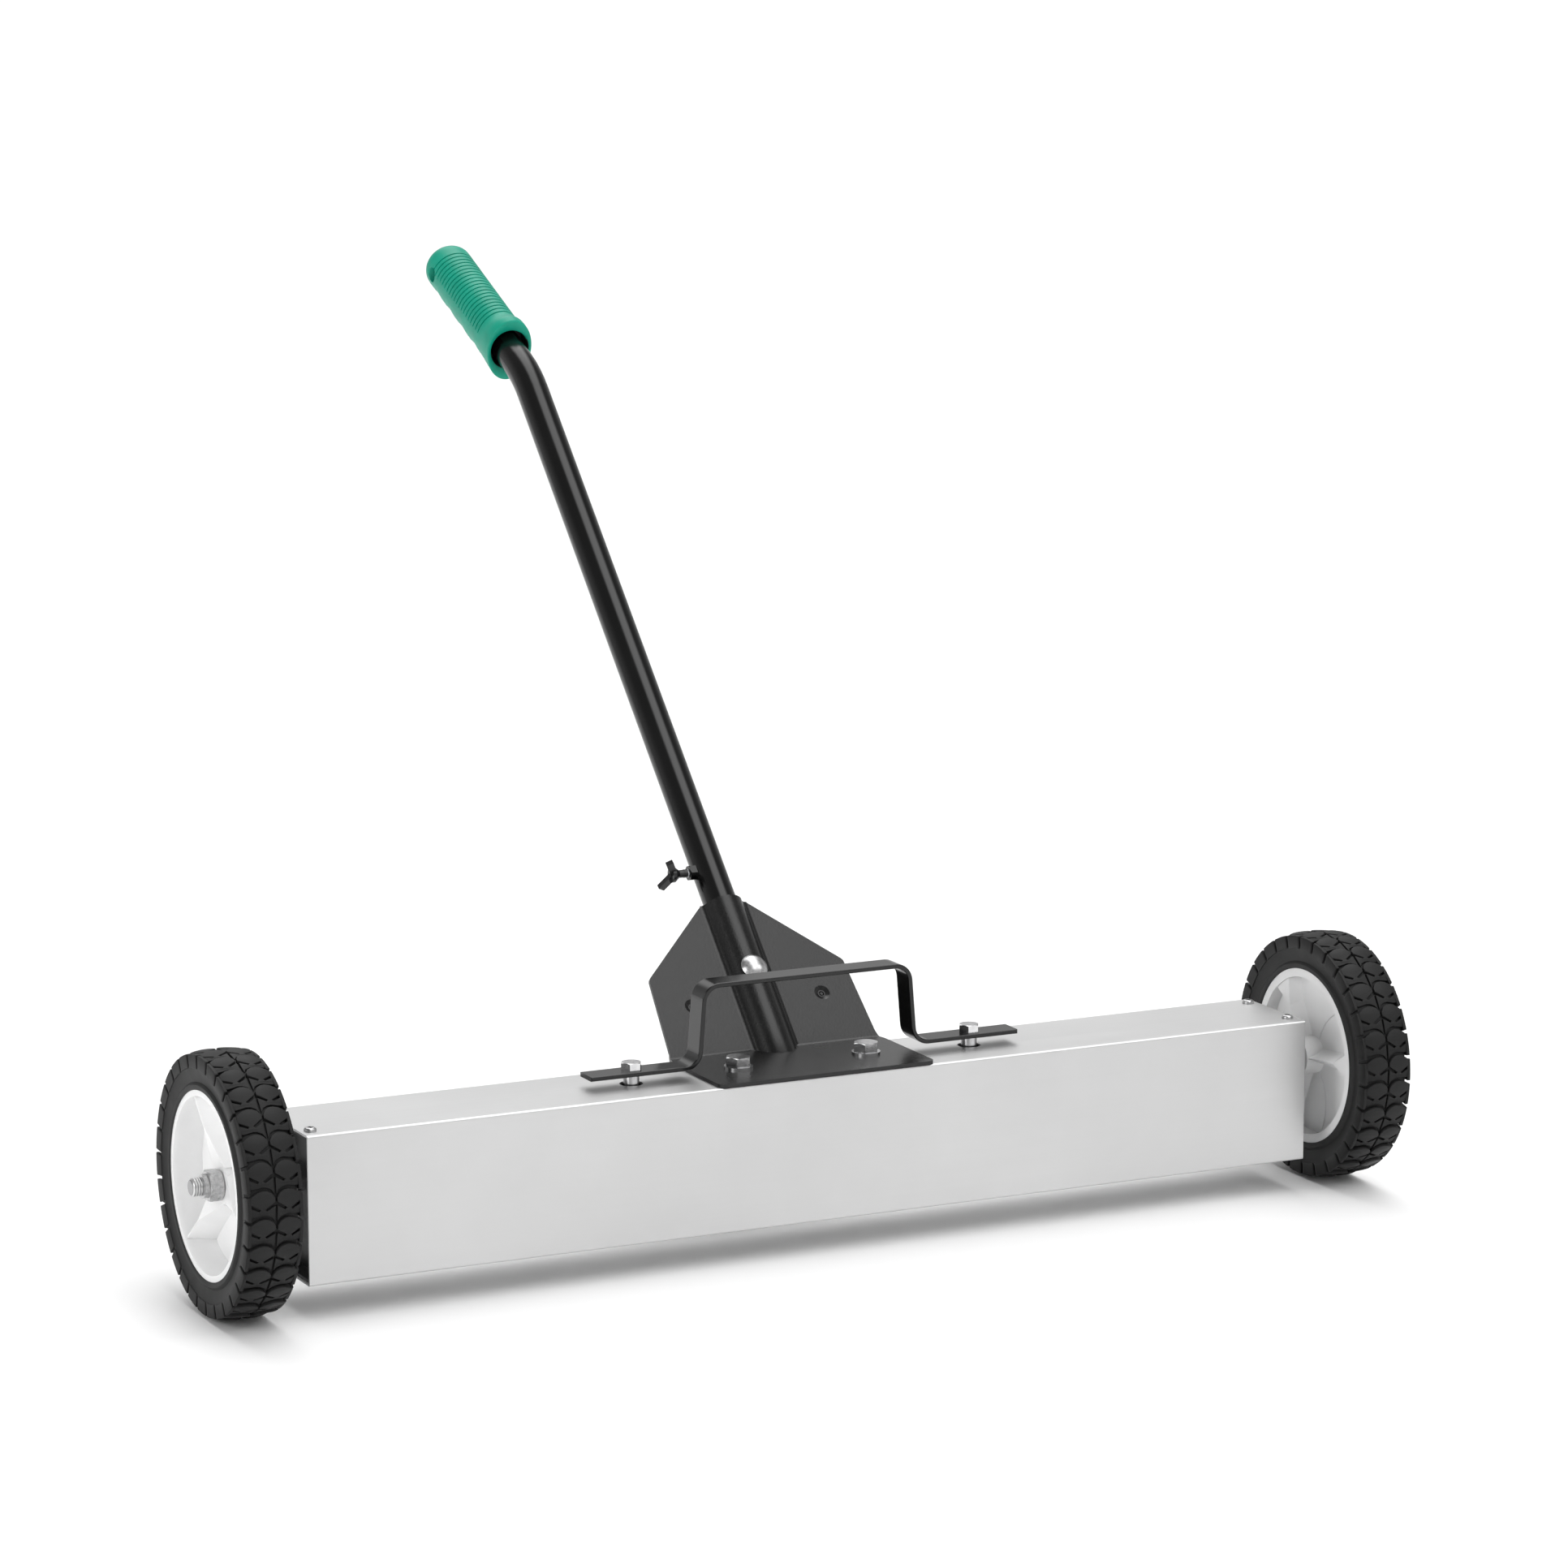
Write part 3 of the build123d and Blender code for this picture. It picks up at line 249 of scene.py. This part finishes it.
def outline(shape, points, closed=True):
    """A chain of edges through a few points."""
    verts = [shape.verts.new(point) for point in points]
    ends = zip(verts, verts[1:] + verts[:1]) if closed else zip(verts, verts[1:])
    return verts, [shape.edges.new(pair) for pair in ends]


def crown_drop(across):
    """How far the tread falls away from its highest line towards the shoulder."""
    return (abs(across) / 14.5) ** 2


def tread_block(shape, side):
    """One block with its land, drawn flat: X round the tyre, Y across it, Z outwards."""
    arch = [(5.6, 0.7), (2.6, 2.6), (0.9, 5.6), (0.5, 8.6), (1.2, 12.0), (3.0, 15.2), (4.6, 17.2)]
    next_arch = [
        (x + pitch_length - groove - arch_flare * max(0, y - arch_flare_start) ** 2, y)
        for x, y in arch
    ]
    outer_slit = [(9.0, 17.2), (13.0, 10.4), (14.2, 11.3), (11.2, 17.2)]
    inner_slit = [(10.8, 0.7), (14.0, 6.2), (12.9, 7.4), (8.3, 0.7)]
    points = arch + outer_slit + next_arch[::-1] + inner_slit
    foot = [shape.verts.new((x, side * y, 0)) for x, y in points]
    face = shape.faces.new(foot)
    raised = bmesh.ops.extrude_face_region(shape, geom=[face])["geom"]
    top = [item for item in raised if isinstance(item, bmesh.types.BMVert)]
    bmesh.ops.translate(shape, verts=top, vec=(0, 0, tread_depth))
    rim = [edge for edge in shape.edges if all(v.co.z > tread_depth - 0.1 for v in edge.verts)]
    bmesh.ops.bevel(
        shape, geom=rim, offset=0.55, segments=2, profile=0.5, affect="EDGES", material=-1
    )


def shoulder_lug(shape, side):
    """One lug on the shoulder's side, flat: Z is its height up the sidewall."""
    made = bmesh.ops.create_cube(shape, size=1.0)["verts"]
    bmesh.ops.scale(shape, vec=(pitch_length - lug_gap, lug_width, lug_height), verts=made)
    lug_edges = [edge for edge in shape.edges if edge.verts[0] in made]
    rounded = bmesh.ops.bevel(
        shape, geom=lug_edges, offset=0.6, segments=2, profile=0.5, affect="EDGES", material=-1
    )
    bmesh.ops.translate(
        shape,
        vec=(pitch_length / 2 + lug_lead, side * lug_across, -lug_sunk),
        verts=rounded["verts"],
    )


def wrapped_tread(wheel_middle, axle_z):
    """Both rows of blocks and both rows of lugs, wrapped round the wheel's axis."""
    tread = bmesh.new()
    for make in (tread_block, shoulder_lug):
        for row in (-1, 1):
            one = bmesh.new()
            make(one, row)
            for index in range(1, 8):
                bmesh.ops.bisect_plane(
                    one,
                    geom=one.verts[:] + one.edges[:] + one.faces[:],
                    plane_co=(3.0 * index, 0, 0),
                    plane_no=(1, 0, 0),
                )
            for vert in one.verts:
                round_x, across, up = vert.co
                if make is tread_block:
                    up *= 1 - block_fall * round_x / pitch_length
                    up -= crown_drop(across)
                angle = round_x / tread_radius + tread_phase
                radius = tread_radius - tread_depth + up
                vert.co = Vector((across, radius * math.cos(angle), radius * math.sin(angle)))
            held = bpy.data.meshes.new("tread_row")
            one.to_mesh(held)
            one.free()
            tread.from_mesh(held)
            bpy.data.meshes.remove(held)
    bmesh.ops.spin(
        tread,
        geom=tread.verts[:] + tread.edges[:] + tread.faces[:],
        cent=(0, 0, 0),
        axis=(1, 0, 0),
        angle=2 * math.pi * (tread_pitches - 1) / tread_pitches,
        steps=tread_pitches - 1,
        use_duplicate=True,
    )
    bmesh.ops.scale(tread, vec=(MM, MM, MM), verts=tread.verts)
    bmesh.ops.translate(tread, vec=(wheel_middle, 0, axle_z), verts=tread.verts)
    return tread


def carcass(wheel_middle, axle_z):
    """The tyre's body under the tread, spun from its half section and that half's mirror."""
    floor = tread_radius - tread_depth + 0.3
    half_section = [
        (0.0, 60.0),
        (14.5, 60.0),
        (14.5, 63.0),
        (17.2, 63.0),
        (17.5, 63.3),
        (17.9, 64.4),
        (17.9, 66.4),
        (17.2, 67.4),
        (16.2, 68.2),
        (16.2, 69.4),
        (16.9, 72.0),
        (17.5, 76.2),
        (18.2, 77.4),
        (18.2, 78.2),
        (17.4, 79.2),
        (16.9, 82.4),
        (15.6, floor - 0.6 - crown_drop(15.6)),
        (12.0, floor - crown_drop(12.0)),
        (6.0, floor - crown_drop(6.0)),
        (0.0, floor),
    ]
    section = half_section + [(-x, r) for x, r in half_section[-2:0:-1]]
    body = bmesh.new()
    _, edges = outline(body, [(x * MM, 0, r * MM) for x, r in section])
    bmesh.ops.spin(
        body,
        geom=body.verts[:] + edges,
        cent=(0, 0, 0),
        axis=(1, 0, 0),
        angle=2 * math.pi,
        steps=120,
        use_merge=True,
    )
    bmesh.ops.translate(body, vec=(wheel_middle, 0, axle_z), verts=body.verts)
    return body


# solid tyre rubber: near black, dry, with a fine moulded grain; painted shade darkens the tread and lug
# band round the rim, darkest at the groove floors
tyre_rubber, tree, shader, place = new_finish("moulded_tyre_rubber", "#161616", Roughness=0.58, IOR=1.36)
dust = add(tree, "TexNoise", {"Vector": place}, {"Scale": 55.0, "Detail": 5.0})
centred = add(
    tree,
    "Mapping",
    {"Vector": place},
    {"Location": (0, 0, -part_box("left_tyre")[1].z / 2), "Scale": (0, 1, 1)},
)
reach = add(tree, "VectorMath", {"Vector": centred.outputs["Vector"]}, operation="LENGTH")
# painted shade: by distance from the axle the rubber goes darker from the lugs out over the tread, darkest
# down at the groove floors
painted_tread_shade = mottle(tree, shader, reach.outputs["Value"], "#242424", "#242424")
painted_tread_shade.color_ramp.elements[0].position = 0.0795
painted_tread_shade.color_ramp.elements[1].position = 0.1
for spot, shade in ((0.0835, "#101010"), (0.0868, "#0b0b0b"), (0.0882, "#1d1d1d")):
    painted_tread_shade.color_ramp.elements.new(spot).color = linear(shade)
grain = add(tree, "TexNoise", {"Vector": place}, {"Scale": 900.0, "Detail": 2.0})
vary(tree, shader, "Roughness", dust.outputs["Fac"], 0.5, 0.7)
emboss(tree, shader, grain.outputs["Fac"], 0.08, 0.4)

axle_z = record["behaviour"]["joints"][0]["pos_m"][2]
for word in ("left", "right"):
    low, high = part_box(f"{word}_tyre")
    middle = (low.x + high.x) / 2
    finished_piece(
        f"{word}_tyre_body",
        carcass(middle, axle_z),
        tyre_rubber,
        f"{word}_wheel",
        "tyre_rubber",
        f"{word}_tyre",
    )
    finished_piece(
        f"{word}_tyre_tread",
        wrapped_tread(middle, axle_z),
        tyre_rubber,
        f"{word}_wheel",
        "tyre_rubber",
        f"{word}_tyre",
    )

# ---- bracket and saddle ----------------------------------------------------------------------
# The bracket and the saddle behind it are pressed steel plates, powder coated with a finely
# textured semi-gloss black. The rivets that join them carry the same coat.
textured_black, tree, shader, place = new_finish(
    "textured_black_powder_coat", "#0c0c0c", Roughness=0.3, IOR=1.45
)
grain = add(tree, "TexNoise", {"Vector": place}, {"Scale": 750.0, "Detail": 2.0})
wander = add(tree, "TexNoise", {"Vector": place}, {"Scale": 25.0, "Detail": 3.0})
mottle(tree, shader, grain.outputs["Fac"], "#060606", "#1b1b1b")
vary(tree, shader, "Roughness", wander.outputs["Fac"], 0.22, 0.3)
emboss(tree, shader, grain.outputs["Fac"], 0.16, 0.5)
give(textured_black, "handle_bracket", "rear_saddle", "saddle_rivets")

# ---- handle tubes ----------------------------------------------------------------------------
# The outer tube is bent steel under gloss black enamel; the inner tube stays bare under zinc,
# and a nylon collar packs it out at its foot.
gloss_black, tree, shader, place = new_finish(
    "gloss_black_enamel", "#080808", Roughness=0.16, IOR=1.48
)
peel = add(tree, "TexNoise", {"Vector": place}, {"Scale": 320.0, "Detail": 2.0})
wander = add(tree, "TexNoise", {"Vector": place}, {"Scale": 18.0, "Detail": 3.0})
mottle(tree, shader, wander.outputs["Fac"], "#040404", "#070707")
vary(tree, shader, "Roughness", wander.outputs["Fac"], 0.12, 0.2)
emboss(tree, shader, peel.outputs["Fac"], 0.02, 0.2)
give(gloss_black, "handle_tube", "clamp_nut", "release_handle")
give(bright_zinc, "inner_tube")

black_nylon, tree, shader, place = new_finish("black_turned_nylon", "#121212", Roughness=0.5, IOR=1.53)
rings = add(tree, "TexNoise", {"Vector": place}, {"Scale": 500.0, "Detail": 3.0})
vary(tree, shader, "Roughness", rings.outputs["Fac"], 0.42, 0.6)
emboss(tree, shader, rings.outputs["Fac"], 0.03, 0.3)
give(black_nylon, "tube_collar")

# ---- wing screw ------------------------------------------------------------------------------
# A forged wing screw: its head is blackened and its thread is left bright, so the finish
# changes where the neck begins.
neck_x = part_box("wing_screw")[0].x + 0.0191
wing_finish, tree, shader, place = new_finish("blackened_wing_screw", "#111112", Roughness=0.3)
apart = add(tree, "SeparateXYZ", {"Vector": place})
thread_share = add(
    tree, "Math", {0: apart.outputs["X"]}, {1: neck_x}, operation="GREATER_THAN"
)
mottle(tree, shader, thread_share.outputs["Value"], "#141415", "#c9cbce")
tree.links.new(thread_share.outputs["Value"], shader.inputs["Metallic"])
turns = add(
    tree,
    "TexWave",
    {"Vector": place},
    {"Scale": 2 * math.pi / (20 * 0.001)},
    bands_direction="X",
    wave_profile="SIN",
)
thread_only = add(
    tree,
    "Math",
    {0: turns.outputs["Fac"], 1: thread_share.outputs["Value"]},
    operation="MULTIPLY",
)
emboss(tree, shader, thread_only.outputs["Value"], 0.5, 0.7)
give(wing_finish, "wing_screw")

# ---- magnets ---------------------------------------------------------------------------------
# Ferrite blocks, ground flat, bonded under a zinc plated steel channel. Both are shut inside the
# housing.
tray_zinc, tree, shader, place = new_finish("zinc_plated_channel", "#a9abad", Metallic=1.0, Roughness=0.38)
spangle = add(tree, "TexVoronoi", {"Vector": place}, {"Scale": 120.0})
mottle(tree, shader, spangle.outputs["Distance"], "#9b9d9f", "#b9bbbd")
vary(tree, shader, "Roughness", spangle.outputs["Distance"], 0.3, 0.48)
give(tray_zinc, "magnet_tray")

ground_ferrite, tree, shader, place = new_finish("ground_ferrite", "#2a2a2c", Metallic=0.3, Roughness=0.55)
grind = add(tree, "TexNoise", {"Vector": place}, {"Scale": 700.0, "Detail": 4.0})
mottle(tree, shader, grind.outputs["Fac"], "#232325", "#343436")
emboss(tree, shader, grind.outputs["Fac"], 0.05, 0.3)
give(ground_ferrite, "magnet_blocks")

# ---- grip ------------------------------------------------------------------------------------
# A soft green vinyl moulding pushed over the tube: flared mouth, ring grooves over its upper
# side, finger waves below, plain side panels and a domed end with a hole to hang it by.
grip_tilt = math.radians(65.2)
grip_length = 139.5
hole_from_mouth = 121.0
along = Vector((0, math.sin(grip_tilt), math.cos(grip_tilt)))
upward = Vector((0, -math.cos(grip_tilt), math.sin(grip_tilt)))
hole_place = next(Vector(m["pos_m"]) for m in record["mounts"] if m["name"] == "hang_hole")
mouth_place = hole_place - along * hole_from_mouth * MM
collar_size = (17.8, 23.2, 1.3)
body_size = (17.2, 20.5, 0.0)
end_size = (18.6, 18.6, 0.0)
collar_run = 7.0
flare_run = 18.0
dome_run = 10.0
groove_first = 26.5
groove_step = 4.85
grooves = 20
groove_depth = 1.7
groove_line = 3.0
slant = 6.0
slant_run = 24.0
wave_first = 38.0
wave_step = 25.0
waves = 4
wave_depth = 1.5
bore_start = 1.0
bore_end = 118.0
bore_reach = 15.8


def ease(share):
    """A share from 0 to 1 that starts and ends gently."""
    return share * share * (3 - 2 * share)


def grip_size(distance):
    """Half width, half height and rise of the oval section at a distance from the mouth."""
    body_start = collar_run + flare_run
    dome_start = grip_length - dome_run
    if distance < body_start:
        share = ease(min(1.0, max(0.0, (distance - collar_run) / flare_run)))
        return [c + (b - c) * share for c, b in zip(collar_size, body_size)]
    share = min(1.0, (distance - body_start) / (dome_start - body_start))
    size = [b + (e - b) * share for b, e in zip(body_size, end_size)]
    if distance > dome_start:
        inward = (distance - dome_start) / dome_run
        round_off = math.sqrt(max(0.0, 1 - inward**2))
        size = [edge - dome_run * (1 - round_off) for edge in size[:2]] + [0.0]
    return size


def grip_point(distance, angle, depth):
    """A point on the grip's skin, in millimetres: across, up and along."""
    width, height, rise = grip_size(distance)
    across = math.cos(angle)
    up = math.sin(angle)
    upper = min(1.0, max(0.0, (height * up - groove_line) / 0.8))
    sunk = depth * upper
    lower = max(0.0, -up)
    for index in range(waves):
        away = abs(distance - wave_first - wave_step * index) / 10.0
        if away < 1:
            sunk += wave_depth * (0.5 + 0.5 * math.cos(math.pi * away)) * lower**2
    if distance < collar_run + 8:
        beak = ease(max(0.0, 1 - distance / (collar_run + 8)))
        sunk -= 1.2 * beak * lower**3
    return Vector(((width - sunk) * across, (height - sunk) * up + rise, distance))


stations = []
for inner, outer in ((0.0, 0.5), (0.35, 0.15), (1.2, 0.0)):
    stations.append((inner, outer, 0.0))
for distance in (3.0, 5.0, 7.0, 9.0, 11.5, 14.0, 16.5, 19.0, 21.5, 24.0):
    stations.append((distance, 0.0, 0.0))
groove_profile = (
    (0.0, 0.0),
    (0.15, 0.6),
    (0.45, 1.0),
    (1.05, 1.0),
    (1.35, 0.6),
    (1.5, 0.0),
    (3.2, 0.0),
)
for index in range(grooves):
    start = groove_first + groove_step * index
    for offset, sunk in groove_profile:
        stations.append((start + offset, 0.0, sunk * groove_depth))
for distance in (123.0, 125.0, 127.0, 128.5):
    stations.append((distance, 0.0, 0.0))
for share in (0.15, 0.3, 0.45, 0.6, 0.72, 0.82, 0.9, 0.96, 0.99, 1.0):
    stations.append((grip_length - dome_run + dome_run * share, 0.0, 0.0))

segments = 96
grip_shape = bmesh.new()
bore_rings = ((114.0, 12.05), (16.0, 12.05), (16.0, 14.8), (1.0, 14.8), (0.2, 15.4))
rings = []
for distance, radius in bore_rings:
    rise = collar_size[2] if radius > 13 else 0.0
    rings.append([Vector((radius * math.cos(2 * math.pi * k / segments),
                          radius * math.sin(2 * math.pi * k / segments) + rise,
                          distance)) for k in range(segments)])
for distance, inset, depth in stations:
    ring = []
    for k in range(segments):
        point = grip_point(distance, 2 * math.pi * k / segments, depth)
        point.x -= math.copysign(inset, point.x) if abs(point.x) > inset else point.x
        point.y -= inset * math.sin(2 * math.pi * k / segments)
        ring.append(point)
    rings.append(ring)
loop = bmesh.ops.create_circle(grip_shape, cap_ends=True, segments=segments, radius=1.0)["verts"]
for vert, point in zip(loop, rings[0]):
    vert.co = point
for ring in rings[1:]:
    edges = [edge for edge in grip_shape.edges if all(v in set(loop) for v in edge.verts)]
    made = bmesh.ops.extrude_edge_only(grip_shape, edges=edges)["geom"]
    fresh = {v for v in made if isinstance(v, bmesh.types.BMVert)}
    partner = {}
    for edge in grip_shape.edges[:]:
        first, second = edge.verts
        if first in fresh and second not in fresh:
            partner[second] = first
        elif second in fresh and first not in fresh:
            partner[first] = second
    loop = [partner[vert] for vert in loop]
    for vert, point in zip(loop, ring):
        vert.co = point
grip_shape.faces.new(loop)
for vert in grip_shape.verts:
    if vert.co.z < slant_run:
        higher = min(1.0, max(0.0, (vert.co.y + 20.0) / 42.0))
        vert.co.z += slant * higher * (1 - vert.co.z / slant_run)
turn = Matrix((Vector((1, 0, 0)), upward, along)).transposed().to_4x4()
bmesh.ops.scale(grip_shape, vec=(MM, MM, MM), verts=grip_shape.verts)
bmesh.ops.transform(grip_shape, matrix=Matrix.Translation(mouth_place) @ turn, verts=grip_shape.verts)

# soft vinyl: saturated green, satin, faintly clouded, with a fine moulded grain
green_vinyl, tree, shader, place = new_finish(
    "soft_green_vinyl", "#02967c", Roughness=0.5, IOR=1.4
)
flow = add(tree, "TexNoise", {"Vector": place}, {"Scale": 60.0, "Detail": 3.0})
mottle(tree, shader, flow.outputs["Fac"], "#019077", "#039b81")
skin = add(tree, "TexNoise", {"Vector": place}, {"Scale": 900.0, "Detail": 2.0})
vary(tree, shader, "Roughness", skin.outputs["Fac"], 0.36, 0.5)
emboss(tree, shader, skin.outputs["Fac"], 0.05, 0.35)
grip_piece = finished_piece("hand_grip", grip_shape, green_vinyl, "handle", "grip_rubber", "grip", sharp=50)

# the cross hole is drilled with a small lead-in at each side
drill = bmesh.new()
drill_section = [(-24.0, 8.6), (-18.6, 6.7), (-17.2, 5.5), (17.2, 5.5), (18.6, 6.7), (24.0, 8.6)]
_, edges = outline(drill, [(x * MM, 0, r * MM) for x, r in drill_section], closed=False)
bmesh.ops.spin(
    drill,
    geom=drill.verts[:] + edges,
    cent=(0, 0, 0),
    axis=(1, 0, 0),
    angle=2 * math.pi,
    steps=48,
    use_merge=True,
)
bmesh.ops.holes_fill(drill, edges=drill.edges)
bmesh.ops.recalc_face_normals(drill, faces=drill.faces)
bmesh.ops.translate(drill, vec=hole_place, verts=drill.verts)
drill_mesh = bpy.data.meshes.new("grip_drill")
drill.to_mesh(drill_mesh)
drill.free()
drill_tool = bpy.data.objects.new("grip_drill", drill_mesh)
bpy.context.scene.collection.objects.link(drill_tool)
cut = grip_piece.modifiers.new("cross_hole", "BOOLEAN")
cut.operation = "DIFFERENCE"
cut.object = drill_tool
cut.solver = "EXACT"
bpy.context.view_layer.update()
drilled = bpy.data.meshes.new_from_object(grip_piece.evaluated_get(bpy.context.evaluated_depsgraph_get()))
grip_piece.modifiers.clear()
grip_piece.data = drilled
drilled.name = "hand_grip"
while len(drilled.materials) > 1:
    drilled.materials.pop()
# the faces inside the bore take the black nylon finish, so the bore is dark all through
drilled.materials.append(black_nylon)
for face in drilled.polygons:
    offset = face.center - mouth_place
    deep = offset.dot(along)
    in_bore = bore_start * MM < deep < bore_end * MM
    if in_bore and (offset - along * deep).length < bore_reach * MM:
        face.material_index = 1
bpy.data.objects.remove(drill_tool)
drilled.shade_smooth()
drilled.set_sharp_from_angle(angle=math.radians(50))

# ---- floor, light and camera -------------------------------------------------------------------
# A wide white studio floor under a long overhead softbox, with one round soft lamp from the
# front right and another from the left.
floor_mesh = bpy.data.meshes.new("studio_floor")
floor_shape = bmesh.new()
bmesh.ops.create_grid(floor_shape, x_segments=1, y_segments=1, size=60.0)
floor_shape.to_mesh(floor_mesh)
floor_shape.free()
floor = bpy.data.objects.new("studio_floor", floor_mesh)
floor.location = (0, 30.0, 0)
bpy.context.scene.collection.objects.link(floor)
floor_finish, tree, shader, place = new_finish("white_studio_floor", "#f6f6f6", Roughness=0.7)
floor_mesh.materials.append(floor_finish)

sky = bpy.data.worlds.new("white_studio")
sky.use_nodes = True
tree = sky.node_tree
apart = add(tree, "SeparateXYZ", {"Vector": add(tree, "TexCoord").outputs["Generated"]})
# the room's walls dim towards the top, and the softbox is a bright band across the ceiling
walls = add(
    tree,
    "MapRange",
    {"Value": apart.outputs["Z"]},
    {"From Min": 0.15, "From Max": 0.6, "To Min": 0.62, "To Max": 0.26},
)
above = add(
    tree,
    "MapRange",
    {"Value": apart.outputs["Z"]},
    {"From Min": 0.35, "From Max": 0.7, "To Max": 2.6},
)
aside = add(tree, "MapRange", {"Value": apart.outputs["X"]}, {"From Min": -1.0, "From Max": 1.0})
softbox = add(tree, "ValToRGB", {"Fac": aside.outputs["Result"]})
softbox.color_ramp.elements[0].position = 0.375
softbox.color_ramp.elements[0].color = (0, 0, 0, 1)
softbox.color_ramp.elements[1].position = 0.475
softbox.color_ramp.elements.new(0.7).color = (1, 1, 1, 1)
softbox.color_ramp.elements.new(0.8).color = (0, 0, 0, 1)
overhead = add(
    tree,
    "Math",
    {0: softbox.outputs["Color"], 1: above.outputs["Result"], 2: walls.outputs["Result"]},
    operation="MULTIPLY_ADD",
)
tree.links.new(overhead.outputs["Value"], tree.nodes["Background"].inputs["Strength"])
tree.nodes["Background"].inputs["Color"].default_value = linear("#ffffff")
bpy.context.scene.world = sky
for name, spot, size, power in (
    ("key_light", (3.0, -2.4, 3.0), 1.8, 24.0),
    ("fill_light", (-3.0, -0.8, 1.6), 1.8, 26.0),
):
    lamp = bpy.data.lights.new(name, "AREA")
    lamp.shape = "DISK"
    lamp.size = size
    lamp.energy = power
    holder = bpy.data.objects.new(name, lamp)
    holder.location = spot
    holder.rotation_euler = (Vector((0, 0.1, 0.2)) - Vector(spot)).to_track_quat("-Z", "Y").to_euler()
    bpy.context.scene.collection.objects.link(holder)

lens = bpy.data.cameras.new("studio_camera")
lens.sensor_width = 36.0
lens.lens = 123.92
lens.clip_end = 200.0
camera = bpy.data.objects.new("studio_camera", lens)
camera.location = (-1.60108, -3.2241, 0.98319)
camera.rotation_euler = (math.radians(90 - 10.4415), 0, math.radians(-26.2068))
bpy.context.scene.collection.objects.link(camera)
bpy.context.scene.camera = camera
bpy.context.scene.view_settings.view_transform = "Standard"
